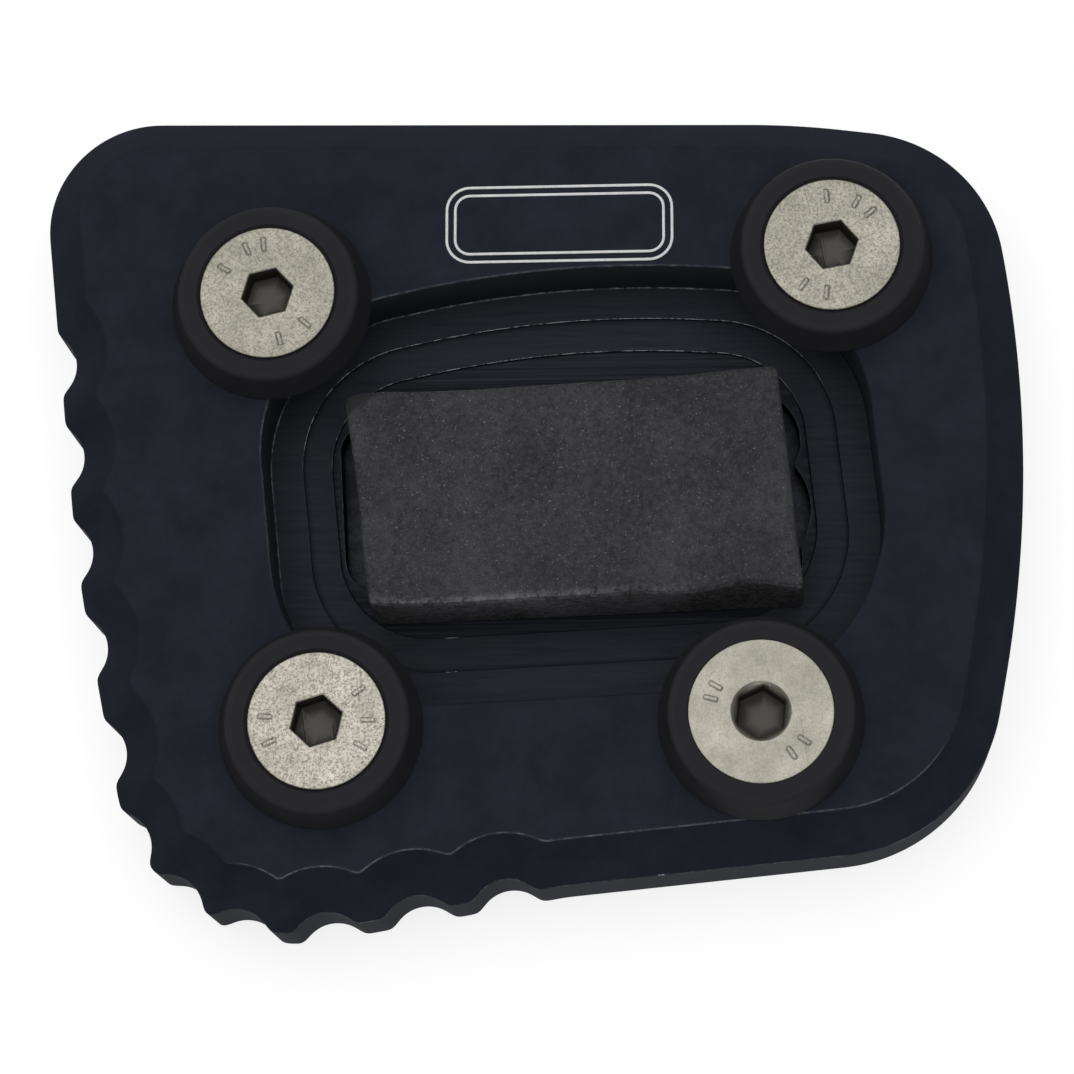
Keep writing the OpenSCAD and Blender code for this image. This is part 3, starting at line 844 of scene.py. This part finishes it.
@dataclass
class BasePlate:
    """The machined plate: scalloped and bevelled edge, walled seat, terraces, pocket and holes.

    Plan values are in the seat's frame, whose origin is the seat's lower left corner, and are moved
    by the middle of the outline's own box, which is the row's origin.

    Attributes:
        screws: Plan place of each screw.
        terrace: Distance from the seat's wall to the first terrace's edge, and on to the second's.
        terrace_extra: What each side of the wall and of the two terraces stands further in than that.
        land_soft: Reach of the soft blend between the edge and a scallop.
        seat_size: Length and width of the seat's plain box.
        knocks: Place of each knock that bared the metal.
        knock_r: How far round a knock the metal shows through.
        knock_wear: Wear in the middle of a knock.
        rim_side_painted_light: Painted light on the plate's upright side wall.
        bevel_painted_shade: Negative wear of the bevel, which paints shade on it.
        wall_painted_light: Painted light on the seat's upright wall, which lies in shade.
        pocket_painted_light: Painted light on the pocket's floor, which lies in shade.
        corner_painted_shade: Painted shade in the terraces' inner corners.
    """

    screws: dict[Place, np.ndarray]
    thickness: float = 12.0
    rim_top: float = 8.0
    bevel: float = 3.5
    foot_break: float = 0.4
    seat_floor: float = 5.4
    terrace: float = 2.95
    terrace_extra: tuple[tuple[float, ...], ...] = (
        (0.0, 0.0, 0.0, 0.0, 0.0, 0.0),
        (0.0, 1.2, 0.0, 0.0, 0.0, 0.0),
        (-0.35, 1.4, 0.0, -0.2, 0.0, 0.0),
    )
    terrace_step: float = 0.3
    pocket_floor: float = 2.5
    boss_r: float = 5.5
    hole_r: float = 3.05
    hole_break: float = 0.6
    scallop_r: float = 3.3
    scallop_depth: float = 1.5
    scallop_start: float = 11.8
    scallop_gaps: tuple[float, ...] = (8.7, 8.8, 8.8, 9.7, 8.1, 6.6, 6.2, 7.4, 8.2, 7.8)
    land_soft: float = 0.4
    seat_size: tuple[float, float] = (56.3, 40.8)
    knocks: tuple[tuple[float, float, float], ...] = (
        (11.5, -32.1, 8.0),
        (-7.0, -10.5, 5.1),
        (-7.0, -13.5, 5.4),
    )
    knock_r: float = 0.6
    knock_wear: float = 14.0
    rim_side_painted_light: float = 0.13
    bevel_painted_shade: float = -0.16
    wall_painted_light: float = 0.11
    pocket_painted_light: float = 0.22
    corner_painted_shade: float = 0.55

    def __post_init__(self) -> None:
        """Works out the three outlines in the row frame."""
        long, wide = self.seat_size
        left, low, right, top = -20.3, -21.2, long + 14.0, wide + 15.1
        corners = np.array(
            [
                (left, top),
                (left + 4.6, low + 35.2),
                (left + 11.8, low),
                (left + 47.9, low + 6.4),
                (right - 6.6, low + 10.0),
                (right, top - 33.4),
                (right - 4.5, top - 3.7),
                (right - 21.4, top - 1.4),
            ]
        )
        radii = np.array([9.9, 119.0, 15.8, 20.0, 15.4, 114.0, 13.4, 73.0])
        plain, _, _ = Outline(corners, radii).points()
        self.shift = (plain.max(axis=0) + plain.min(axis=0)) / 2
        corners = corners - self.shift
        points, normals, start = Outline(corners, radii, step=0.1).points()
        points, normals = points[start:], normals[start:]
        steps = np.linalg.norm(np.diff(points, axis=0), axis=1)
        way = np.concatenate([[0.0], np.cumsum(steps)])
        stops = self.scallop_start + np.concatenate([[0.0], np.cumsum(self.scallop_gaps)])
        edge = np.stack([np.interp(stops, way, points[:, i]) for i in (0, 1)], axis=-1)
        inward = np.stack([np.interp(stops, way, normals[:, i]) for i in (0, 1)], axis=-1)
        self.edge = Outline(
            corners,
            radii,
            step=0.25,
            bites=edge - inward * (self.scallop_r - self.scallop_depth),
            bite_r=self.scallop_r,
            soft=self.land_soft,
            eased=3,
        )
        seat = np.array(
            [(0.0, wide - 5.8), (3.6, 0.0), (long - 4.3, 2.2)]
            + [(long, 15.6), (long - 2.4, wide - 1.8), (27.1, wide)]
        )
        self.seat_corners = seat - self.shift
        self.seat_radii = np.array([14.0, 14.0, 14.0, 14.0, 14.0, 95.0])

    def seat_outline(self, number: int) -> Outline:
        """The seat's wall, or the edge of one of its terraces.

        Args:
            number: 0 for the wall, 1 and 2 for the terraces from the wall inwards.

        Returns:
            Its outline; the wall goes round the bosses of the tapped holes.
        """
        base = Outline(self.seat_corners, self.seat_radii)
        distance = number * self.terrace + np.array(self.terrace_extra[number])
        bosses = np.array(list(self.screws.values())) if number == 0 else np.zeros((0, 2))
        return Outline(
            base.moved_in(distance),
            self.seat_radii - number * self.terrace,
            step=0.25,
            bites=bosses,
            bite_r=self.boss_r,
            soft=0.3,
        )

    def pocket_outline(self) -> Outline:
        """The pocket under the pad: a leaning box with two cutter lobes on its right side."""
        half_l, half_w, low, lean = 20.45, 8.4, 7.8, math.tan(math.radians(3.2))
        middle = np.array(self.seat_size) / 2 + (0.1, -0.7) - self.shift
        box = np.array(
            [
                (-half_l - half_w * lean, half_w),
                (-half_l + low * lean, -low),
                (half_l + low * lean, -low),
                (half_l - half_w * lean, half_w),
            ]
        )
        radii = np.array([6.3, 4.8])
        rise = np.array([8.1, 14.4]) - half_w
        lobes = np.stack([half_l - rise * lean + (1.1, 0.6) - radii, rise], axis=-1)
        return Outline(
            box + middle, np.array([3.0, 3.6, 2.6, 2.0]), step=0.2, bulges=lobes + middle, bulge_r=radii
        )

    @staticmethod
    def on_side(
        outline: Outline,
        wear: np.ndarray,
        most: float,
        facing: tuple[float, float],
        start: float = -0.1,
        span: float = 0.8,
        painted_shade: float = 0.0,
    ) -> np.ndarray:
        """Wear and painted highlight on one side of an outline, painted shade on the others: a smooth step
        of the normal along a direction.

        Args:
            outline: The outline that the profile was carried round.
            wear: Wear at each point of the profile.
            most: Share of the wear and painted highlight on the side that gets them.
            facing: Direction of the inward normals on that side.
            start: Cosine of the angle from that direction at which wear begins.
            span: How much greater the cosine is where wear is full.
            painted_shade: Share of the wear that shows as painted shade instead on the other sides.

        Returns:
            Array (profile points, outline points).
        """
        _, normal, _ = outline.points()
        lit = smooth((normal @ unit(np.array(facing)) - start) / span)
        return wear[:, None] * (most * lit - painted_shade * (1.0 - lit))[None]

    def knocked(self, points: np.ndarray, wear: np.ndarray) -> np.ndarray:
        """Bare metal on worn edges near each knock, by a smooth step of the distance over its radius."""
        away = [np.linalg.norm(points - np.array(at), axis=-1) / self.knock_r for at in self.knocks]
        return self.knock_wear * smooth(1.0 - np.min(away, axis=0)) * (wear > 0)[:, None]

    def build(self) -> None:
        """Builds the plate as one closed surface.

        From the outside in, each profile is carried round its outline, and level fills join the rings'
        ends: rim, seat's wall, tapped holes, the two terraces' steps and the pocket.
        """
        skin = Skin()
        top, floor = self.thickness, self.seat_floor
        section = Profile.rounded(
            [(1.4, 0.0), (self.foot_break, 0.0), (0.0, self.foot_break), (0.0, self.rim_top)]
            + [(self.bevel, top), (self.bevel + 0.5, top)],
            [0.0, 0.12, 0.12, 0.3, 0.28, 0.0],
        )
        rim = self.edge.carry(section)
        # Bare-metal wear and a painted highlight on the near side's inner bevel edge only
        worn = self.on_side(self.edge, section.wear, 0.42, (-0.3, 1.0), start=0.68, span=0.25)
        inset, height = section.points.T
        side_wall = (inset < 0.05) & (height > self.foot_break)
        sloped = (inset > 0.2) & (inset < self.bevel - 0.05) & (height > self.rim_top)
        # Painted light on the upright side wall and painted shade on the bevel
        painted_light_and_shade = self.rim_side_painted_light * side_wall + self.bevel_painted_shade * sloped
        skin.grid(rim, worn + self.knocked(rim, section.wear) + painted_light_and_shade[:, None])

        wall = Profile.rounded([(-0.5, top), (0.0, top), (0.0, floor), (0.5, floor)], [0.0, 0.2, 0.14, 0.0])
        outline = self.seat_outline(0)
        seat = outline.carry(wall)
        # Wear and painted highlight on the far side and painted shade on the others; the top edge gets less
        # of them than the round where the wall meets the floor
        share = np.where(wall.points[:, 1] > self.rim_top, 0.3, 0.9)
        worn = self.on_side(outline, wall.wear * share, 1.0, (0.6, -1.0), painted_shade=0.7)
        # Painted light on the upright wall, which lies in shade
        upright = (np.abs(wall.points[:, 0]) < 0.05) & (wall.points[:, 1] < top - 0.05)
        skin.grid(seat, worn + self.wall_painted_light * upright[:, None])

        mouth = self.hole_r + self.hole_break
        hole = Profile.rounded(
            [(self.hole_r + 0.5, top), (self.hole_r, top), (self.hole_r, self.hole_break)]
            + [(mouth, 0.0), (mouth + 0.3, 0.0)],
            [0.0, 0.15, 0.1, 0.1, 0.0],
        )
        bores = [lathed(centre, hole) for centre in self.screws.values()]
        for bore in bores:
            skin.grid(bore, hole.wear * 0.3)
        skin.flat([rim[-1, :, :2], seat[0, :, :2], *(bore[0, :, :2] for bore in bores)], top)
        skin.flat([rim[0, :, :2], *(bore[-1, :, :2] for bore in bores)], 0.0)

        level, inner = floor, seat[-1, :, :2]
        for number, reach in ((1, 0.45), (2, 0.12)):
            lower = level - self.terrace_step
            drop = Profile.rounded(
                [(-0.2, level), (0.0, level), (0.0, lower), (reach, lower)],
                [0.0, 0.07, -0.06, 0.0],
                steps=3,
                support=0.02,
            )
            outline = self.seat_outline(number)
            step = outline.carry(drop)
            # Wear and painted highlight on the far side's step edges, painted shade on the other sides and
            # in the inner corners
            worn = self.on_side(outline, drop.wear, 2.4, (0.25, -1.0), painted_shade=0.4)
            inset, height = drop.points.T
            inner_corner = (inset > -1e-6) & (inset < 0.15) & (height < lower + 0.07)
            skin.grid(step, worn + self.knocked(step, drop.wear) - self.corner_painted_shade * inner_corner[:, None])
            skin.flat([inner, step[0, :, :2]], level)
            level, inner = lower, step[-1, :, :2]

        down = Profile.rounded(
            [(-0.1, level), (0.0, level), (0.0, self.pocket_floor), (0.5, self.pocket_floor)],
            [0.0, 0.06, -0.3, 0.0],
            support=0.02,
        )
        pocket = self.pocket_outline().carry(down)
        # Painted light on the pocket's floor, which lies in shade
        pocket_light = np.where(down.points[:, 1] < self.pocket_floor + 0.2, self.pocket_painted_light, 0.0)
        skin.grid(pocket, down.wear * 0.6 + pocket_light)
        skin.flat([inner, pocket[0, :, :2]], level)
        skin.flat([pocket[-1, :, :2]], self.pocket_floor, self.pocket_painted_light)
        dress(skin.build("plate_skin"), AnodisedAluminium().material(), "anodised_plate", "base_plate")


@dataclass
class FoamPad:
    """The hand-cut foam block: crowned, with sides that pull in and edges that wander a little.

    Attributes:
        seat_middle: Middle of the seat's plain box in the row frame.
        ledges: Edges of the terraces that the block's ends lie over.
        off: How far each corner of the cut block stands off the plain one.
        pull: How far the sides pull in between the corners.
        pull_far: The same on the side away from the viewer, most in its left half.
        wander: How far the sides wander, by slow waves.
        crown: How far the top's middle rises.
        cut_corner: Radius in plan of the block's top left corner.
        slice_size: Legs along X and Y of the slice that is cut off the top left corner's top.
        bays: Place along the near side from -1 to 1, width and depth in mm of each bay in its top.
    """

    seat_middle: np.ndarray
    ledges: list[Outline]
    length: float = 37.9
    width_left: float = 18.6
    width_right: float = 19.9
    low: float = 4.8
    high: float = 13.0
    turn: float = 2.7
    lean: float = 4.2
    edge_r: float = 0.6
    pull: float = 0.12
    pull_far: float = 0.5
    wander: float = 0.12
    crown: float = 0.12
    cut_corner: float = 1.1
    slice_size: tuple[float, float] = (3.4, 2.3)
    slice_deep: float = 1.7
    bays: tuple[tuple[float, float, float], ...] = ((0.76, 0.2, 0.75), (0.25, 0.15, 0.22), (-1.0, 0.15, 0.3))
    side_painted_light: float = 0.34
    off: tuple[tuple[float, float], ...] = ((0.07, 1.25), (0.27, 0.05), (0.4, 0.1), (0.75, 0.5))
    ledge_high: float = 0.3

    def corners(self) -> np.ndarray:
        """Plan corners at top left, bottom left, bottom right and top right, in the row frame."""
        half, lean = self.length / 2, math.tan(math.radians(self.lean))
        left, right = self.width_left / 2, self.width_right / 2
        box = np.array(
            [
                (-half - left * lean, left),
                (-half + left * lean, -left),
                (half + right * lean, -right),
                (half - right * lean, right),
            ]
        )
        middle = self.seat_middle + (0.4, -1.2)
        return turned(box, np.full(4, math.radians(self.turn))) + middle + np.array(self.off)

    def shape(self, u: np.ndarray, v: np.ndarray, w: np.ndarray) -> np.ndarray:
        """Maps the unit box onto the block.

        Each point is first pulled towards the box shrunk by the edge radius and set back out by
        that radius, which rounds the edges; the cut corner is rounded in plan by the same rule. Its
        plan place is then a blend of the four corners. The sides move in by pull times
        (1 - t squared) along them, each bay takes the near side's top in by a bell curve
        exp(-(distance / width) squared), and the top rises by a crown of the same form plus slow waves,
        less a straight slice at the top left corner and smooth dips round the two lower ones. The
        underside gives way where it lies over a ledge.

        Args:
            u: Along the length, from -1 to 1.
            v: Along the width, from -1 to 1.
            w: Up, from -1 to 1.

        Returns:
            Array (..., 3).
        """
        half = np.array([self.length, (self.width_left + self.width_right) / 2, self.high - self.low]) / 2
        p = np.stack([u, v, w], axis=-1) * half
        core = np.clip(p, -(half - self.edge_r), half - self.edge_r)
        away = p - core
        size = np.linalg.norm(away, axis=-1, keepdims=True)
        p = core + away / np.maximum(size, 1e-9) * np.minimum(size, self.edge_r)
        side = np.array([-1.0, 1.0])
        past = np.clip(p[..., :2] * side - (half[:2] - self.cut_corner), 0.0, None)
        far = np.linalg.norm(past, axis=-1, keepdims=True)
        past = past * (np.minimum(1.0, self.cut_corner / np.maximum(far, 1e-9)) - 1.0)
        p = np.concatenate([p[..., :2] + past * side, p[..., 2:]], axis=-1)
        u, v, w = (p / half)[..., 0], (p / half)[..., 1], (p / half)[..., 2]
        wave = np.sin(2.1 * u + 0.7) * np.cos(2.7 * v - 0.4) + 0.5 * np.sin(5.2 * u - 1.3 * v)
        su = u * (1.0 - self.pull / half[0] * (1.0 - v * v) * (0.6 + 0.4 * w))
        inward = np.where(v > 0, self.pull_far * (1.0 - 0.5 * u), self.pull)
        sv = v * (1.0 - inward / half[1] * (1.0 - u * u) * (0.6 + 0.4 * w))
        for at, wide, deep in self.bays:
            sv = sv + deep / half[1] * np.exp(-(((u - at) / wide) ** 2)) * (1 - v) * (1 + w) / 4
        su = su + self.wander / half[0] * 0.5 * np.sin(4.0 * v + 1.0) * (w + 1.0) / 2 * np.abs(u)
        sv = sv + self.wander / half[1] * 0.5 * np.sin(6.0 * u + 2.0) * (w + 1.0) / 2 * np.abs(v)
        top_left, low_left, low_right, top_right = self.corners()
        a, b = ((su + 1) / 2)[..., None], ((sv + 1) / 2)[..., None]
        plan = (1 - a) * (1 - b) * low_left + a * (1 - b) * low_right
        plan = plan + (1 - a) * b * top_left + a * b * top_right
        legs = (u + 1) * half[0] / self.slice_size[0] + (1 - v) * half[1] / self.slice_size[1]
        low = np.hypot((u + 1) * half[0], (v + 1) * half[1])
        near = np.hypot((1 - u) * half[0] / 3.0, (v + 1) * half[1])
        dips = self.slice_deep * np.clip(1 - legs, 0.0, None) + 0.6 * smooth(1 - low / 4.0)
        dips = dips + 0.5 * smooth(1 - near / 2.2)
        crown = self.crown * (1 - u * u) * (1 - v * v) + 0.05 * wave - 0.1
        rise = smooth((w + 1.0) / 2) * (crown - dips)
        height = np.maximum((self.low + self.high) / 2 + w * half[2] + rise, self.support(plan))
        return np.concatenate([plan, height[..., None]], axis=-1)

    def support(self, plan: np.ndarray) -> np.ndarray:
        """Height of what lies under each plan point.

        That is the seat's lowest floor, plus one step for each ledge whose nearest point's inward
        normal points away from the plan point, or nearly so.

        Args:
            plan: Array (..., 2).

        Returns:
            Array (...).
        """
        level = np.full(plan.shape[:-1], self.low)
        for ledge in self.ledges:
            edge, normal, _ = ledge.points()
            to = plan[..., None, :] - edge
            nearest = np.argmin(np.sum(to * to, axis=-1), axis=-1)
            to = np.take_along_axis(to, nearest[..., None, None], axis=-2)[..., 0, :]
            inside = np.sum(to * normal[nearest], axis=-1)
            level = level + np.where(inside < 0.15, self.ledge_high, 0.0)
        return level

    def build(self) -> None:
        """Builds the block from six grids whose edges coincide."""
        # Points crowd towards the ends of each side, where the edge is round
        even = (np.linspace(-1.0, 1.0, count) for count in (97, 61, 33))
        t, s, h = (np.sign(x) * (1 - (1 - np.abs(x)) ** 1.5) for x in even)
        skin = Skin()
        for w in (-1.0, 1.0):
            u, v = np.meshgrid(t, s)
            # Painted highlight along the left half of the top's lower edge
            lip = smooth(1 - (v + 1) * self.width_left / 2 / 0.9) * smooth((0.7 - u) / 0.9)
            # Painted shade on the slice cut off the top left corner
            across = (u + 1) * self.length / 2 / self.slice_size[0]
            across = across + (1 - v) * self.width_left / 2 / self.slice_size[1]
            slice_shade = smooth((1.1 - across) / 0.2)
            pale = lip * 0.5 - slice_shade if w > 0 else np.zeros_like(v)
            skin.grid(self.shape(u, v, np.full_like(u, w)), pale, around=False)
        for v in (-1.0, 1.0):
            u, w = np.meshgrid(t, h)
            # Painted light on the front and back faces, which lie in shade
            pale = self.side_painted_light * smooth((1 - np.abs(w)) / 0.1)
            skin.grid(self.shape(u, np.full_like(u, v), w), pale, around=False)
        for u in (-1.0, 1.0):
            v, w = np.meshgrid(s, h)
            skin.grid(self.shape(np.full_like(v, u), v, w), around=False)
        made = skin.build("foam_block")
        dress(made, CellularRubber().material(), "foam", "foam_pad")


@dataclass
class ClampDisc:
    """A turned disc with a conical flank and a countersunk bore."""

    place: Place
    centre: np.ndarray
    low: float = 12.0
    height: float = 3.5
    foot_r: float = 9.0
    top_r: float = 7.9
    mouth_r: float = 6.35
    bore_r: float = 3.25
    segments: int = 160

    def build(self, material: bpy.types.Material) -> None:
        """Builds the disc: its section turned about the screw's axis.

        Args:
            material: Its material.
        """
        top = self.low + self.height
        section = Profile.rounded(
            [
                (self.bore_r, self.low),
                (self.foot_r, self.low),
                (self.top_r, top),
                (self.mouth_r, top),
                (self.bore_r, top - (self.mouth_r - self.bore_r)),
            ],
            [0.1, 0.25, 0.75, 0.1, -0.1],
            closed=True,
            support=0.04,
        )
        skin = Skin()
        skin.grid(lathed(self.centre, section, self.segments), section.wear, ends=True)
        name = self.place.value
        dress(skin.build(f"disc_{name}"), material, "disc_plastic", f"clamp_disc_{name}")


@dataclass
class CountersunkScrew:
    """A countersunk socket screw, with plain raised ticks on its head.

    Attributes:
        turn: Turn of the socket in degrees.
        ticks: Direction of each tick from the axis, in degrees.
        rim: Height of the head's upright rim.
        flats: Width of the socket across its flats.
        tick_r: Distance of the ticks' middles from the axis.
        tick_half: Half the width and half the length of a tick.
        tick_soft: Width of a tick's sloping sides.
    """

    place: Place
    centre: np.ndarray
    top: float
    socket: Socket
    turn: float
    ticks: tuple[float, ...]
    head_r: float = 6.0
    rim: float = 0.3
    shank_r: float = 3.0
    length: float = 14.0
    flats: float = 4.0
    depth: float = 2.4
    tick_r: float = 4.45
    tick_half: tuple[float, float] = (0.26, 0.68)
    tick_soft: float = 0.14
    tick_high: float = 0.12
    segments: int = 288

    def rows(self) -> np.ndarray:
        """Section rows (share of hexagon, radius, height under the top) from the socket's centre out.

        Returns:
            Array (k, 3).
        """
        half, head, shank = self.flats / 2, self.head_r, self.shank_r
        plain = self.socket is Socket.PLAIN
        bottom = ((0.0, -0.5), (half - 0.12, 0.0), (half, 0.12), (half, 0.3))
        floor = [(1.0, radius, height - self.depth) for radius, height in bottom]
        if plain:
            steps = ((0.0, -0.14), (0.05, -0.05), (0.14, 0.0), (0.2, 0.0))
            mouth = [(1.0, half + out, height) for out, height in steps]
        else:
            steps = ((1.0, 0.0, -0.75), (0.55, 0.12, -0.5), (0.0, 0.34, -0.3), (0.0, 0.58, -0.02))
            mouth = [(share, half + out, height) for share, out, height in (*steps, (0.0, 0.64, 0.0))]
        # Round a plain socket the hexagon fades into circles over 1 mm
        across = np.arange(half + 0.75, head - 0.2, 0.09)
        face = [(max(0.0, 1.2 + half - radius) if plain else 0.0, radius, 0.0) for radius in across]
        if self.rim < 0.15:
            steps = ((0.08, 0.0), (0.02, -0.02), (0.0, -0.06))
        else:
            steps = ((0.12, 0.0), (0.05, -0.02), (0.01, -0.06), (0.0, -0.12))
        edge = [(0.0, head - inset, height) for inset, height in steps]
        neck, tip = -self.rim - (head - shank), -self.length
        steps = ((head, -self.rim), (head - 0.05, -self.rim - 0.05), (shank + 0.05, neck + 0.05))
        steps += ((shank, neck), (shank, neck - 0.1), (shank, tip + 0.65), (shank - 0.05, tip + 0.55))
        steps += ((shank - 0.55, tip + 0.03), (shank - 0.7, tip), (0.4, tip), (0.0, tip))
        body = [(0.0, radius, height) for radius, height in steps]
        return np.array([*floor, *mouth, *face, *edge, *body])

    def build(self, material: bpy.types.Material) -> None:
        """Builds the screw on a grid of angle and section row.

        The radius at an angle is the row's radius, times for the hexagon's share 1 / cos of the
        angle from the nearest flat's middle. A tick raises the head's face by a smooth bump over
        its length and width.

        Args:
            material: Its material.
        """
        rows = self.rows()
        share, radius, height = (rows[:, i, None] for i in range(3))
        angle = np.linspace(0.0, 2 * np.pi, self.segments, endpoint=False)[None]
        from_flat = (angle + np.pi / 6) % (np.pi / 3) - np.pi / 6
        reach = radius * (share / np.cos(from_flat) + (1.0 - share))
        world = angle + math.radians(self.turn - 30.0)
        up = np.zeros_like(reach)
        for tick in self.ticks:
            off = (world - math.radians(tick) + np.pi) % (2 * np.pi) - np.pi
            across = self.tick_half[0] - np.abs(off * reach)
            along = self.tick_half[1] - np.abs(reach - self.tick_r)
            up = np.maximum(up, smooth(across / self.tick_soft) * smooth(along / self.tick_soft))
        # The first five rows line the socket, where negative wear paints shade
        in_socket = np.arange(len(rows))[:, None] < 5
        face = (np.abs(height) < 1e-9) & (radius > 3.3)
        z = self.top + height + np.where(face, up * self.tick_high, 0.0)
        x = self.centre[0] + reach * np.cos(world)
        y = self.centre[1] + reach * np.sin(world)
        wear = np.where(face, up, -1.0 * in_socket)
        skin = Skin()
        skin.grid(np.stack(np.broadcast_arrays(x, y, z), axis=-1), wear)
        name = self.place.value
        dress(skin.build(f"bolt_{name}"), material, "screw_steel", f"screw_{name}")


@dataclass
class PrintedFrame:
    """A plain printed frame of two white hairlines on the plate's top face."""

    shift: np.ndarray
    middle: tuple[float, float] = (27.7, 44.2)
    size: tuple[float, float] = (20.4, 7.2)
    line: float = 0.24
    film: float = 0.02
    level: float = 12.0

    def build(self, material: bpy.types.Material) -> None:
        """Builds both lines: a flat film's section carried round two rounded boxes.

        Args:
            material: Its material.
        """
        skin = Skin()
        for inset, radius in ((0.0, 2.2), (0.75, 1.45)):
            half = np.array(self.size) / 2 - inset
            box = half * np.array([(-1, 1), (-1, -1), (1, -1), (1, 1)])
            loop = Outline(box + self.middle - self.shift, np.full(4, radius))
            low, high = self.level + 0.002, self.level + self.film
            line = np.array([(0.0, low), (self.line, low), (self.line, high), (0.0, high)])
            skin.grid(loop.carry(Profile(line, np.zeros(4))), ends=True)
        dress(skin.build("printed_frame"), material, "anodised_plate")


@dataclass
class Studio:
    """White paper floor, soft lamps and the camera.

    Attributes:
        focal: Camera's distance from lens to picture, in pixels of the photograph's 1074.
        pitch: Tilt about X that takes the row frame to the camera's, in radians.
        yaw: Turn about Y that does the same, in radians.
        distance: Distance in mm from the camera to the middle of the heads' plane.
        head_plane: Where the heads' plane has its middle in the row frame.
        floor_side: Half the floor's side in metres.
        floor_drop: Height in mm of the floor, a hair under the plate so that the two don't mix.
        sky: Strength of the surroundings as a light; the camera sees them as plain white.
    """

    focal: float = 3594.4
    pitch: float = -0.228276
    yaw: float = -0.059963
    distance: float = 311.53
    head_plane: tuple[float, float, float] = (1.174, -3.839, 15.5)
    floor_side: float = 3.0
    floor_drop: float = -0.05
    sky: float = 0.3

    def camera(self) -> None:
        """Places the camera: the frame is turned by yaw, then pitch, and seen from the distance."""
        turn = Matrix.Rotation(self.pitch, 3, "X") @ Matrix.Rotation(self.yaw, 3, "Y")
        back = turn.transposed()
        place = (back @ Vector((0.0, 0.0, self.distance)) + Vector(self.head_plane)) * MM
        data = bpy.data.cameras.new("camera")
        data.sensor_width = 36.0
        data.lens = 36.0 * self.focal / 1074.0
        data.clip_start, data.clip_end = 0.01, 20.0
        made = put("camera", data)
        made.matrix_world = Matrix.Translation(place) @ back.to_4x4()
        bpy.context.scene.camera = made

    def lamp(self, name: str, place: tuple[float, float, float], size: float, power: float) -> None:
        """Adds a square soft lamp that faces the object.

        Args:
            name: Its name.
            place: Where it is, in metres.
            size: Its side, in metres.
            power: Its power in watts.
        """
        data = bpy.data.lights.new(name, "AREA")
        data.shape, data.size, data.energy = "SQUARE", size, power
        facing = Vector(place).to_track_quat("Z", "Y").to_matrix().to_4x4()
        put(name, data).matrix_world = Matrix.Translation(place) @ facing

    def build(self) -> None:
        """Builds floor, lamps, surroundings and camera."""
        mesh = bpy.data.meshes.new("paper_floor")
        side, drop = self.floor_side, self.floor_drop * MM
        corners = [(-side, -side, drop), (side, -side, drop), (side, side, drop), (-side, side, drop)]
        mesh.from_pydata(corners, [], [(0, 1, 2, 3)])
        mesh.materials.append(StudioPaper().material())
        put("paper_floor", mesh)
        world = bpy.data.worlds.new("surroundings")
        bpy.context.scene.world = world
        world.use_nodes = True
        tree = world.node_tree
        tree.nodes.clear()
        seen = add(tree, "LightPath").outputs["Is Camera Ray"]
        strength = add(tree, "MapRange", {"Value": seen, "To Min": self.sky, "To Max": 1.0})
        sky = add(tree, "Background", {"Color": WHITE, "Strength": strength})
        add(tree, "OutputWorld", {"Surface": sky})
        self.lamp("overhead", (-0.1, 0.3, 1.3), 2.0, 17.0)
        self.lamp("front", (0.1, -0.95, 0.3), 0.5, 0.9)
        bpy.context.scene.view_settings.view_transform = "Standard"
        self.camera()


def main() -> None:
    """Builds every piece in order, dresses it and reports it."""
    logging.basicConfig(level=logging.INFO, format="%(name)s: %(message)s")
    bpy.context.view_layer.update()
    boxes = {place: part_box(f"screw_{place.value}") for place in Place}
    centres = {
        place: np.array([(low.x + high.x) / 2, (low.y + high.y) / 2]) / MM
        for place, (low, high) in boxes.items()
    }
    plate = BasePlate(centres)
    plate.build()
    seat_middle = np.array(plate.seat_size) / 2 - plate.shift
    FoamPad(seat_middle, [plate.seat_outline(number) for number in (1, 2)]).build()
    acetal = TurnedAcetal().material()
    for place, centre in centres.items():
        ClampDisc(place, centre).build(acetal)
    turns = {
        Place.TOP_LEFT: (13.0, (-75.0, -40.0, 95.0, 115.0, 150.0)),
        Place.TOP_RIGHT: (10.0, (-125.0, -97.0, 40.0, 60.0, 95.0)),
        Place.BOTTOM_LEFT: (17.0, (-155.0, 175.0, -30.0, 0.0, 35.0)),
        Place.BOTTOM_RIGHT: (24.0, (-55.0, -35.0, 150.0, 165.0)),
    }
    for number, (place, (turn, ticks)) in enumerate(turns.items()):
        odd = place is Place.BOTTOM_RIGHT
        steel = StainlessSteel(
            name=f"stainless_steel_{place.value}",
            base="dcd7cb" if place is Place.BOTTOM_LEFT else StainlessSteel.base,
            sand=0.4 if odd else StainlessSteel.sand,
            seed=0.013 * number,
        )
        CountersunkScrew(
            place,
            centres[place],
            boxes[place][1].z / MM,
            Socket.ROUND_MOUTH if odd else Socket.PLAIN,
            turn,
            ticks,
            head_r=6.25 if odd else CountersunkScrew.head_r,
            rim=0.1 if odd else CountersunkScrew.rim,
        ).build(steel.material())
    PrintedFrame(plate.shift).build(PrintedInk().material())
    Studio().build()


if __name__ == "__main__":
    main()
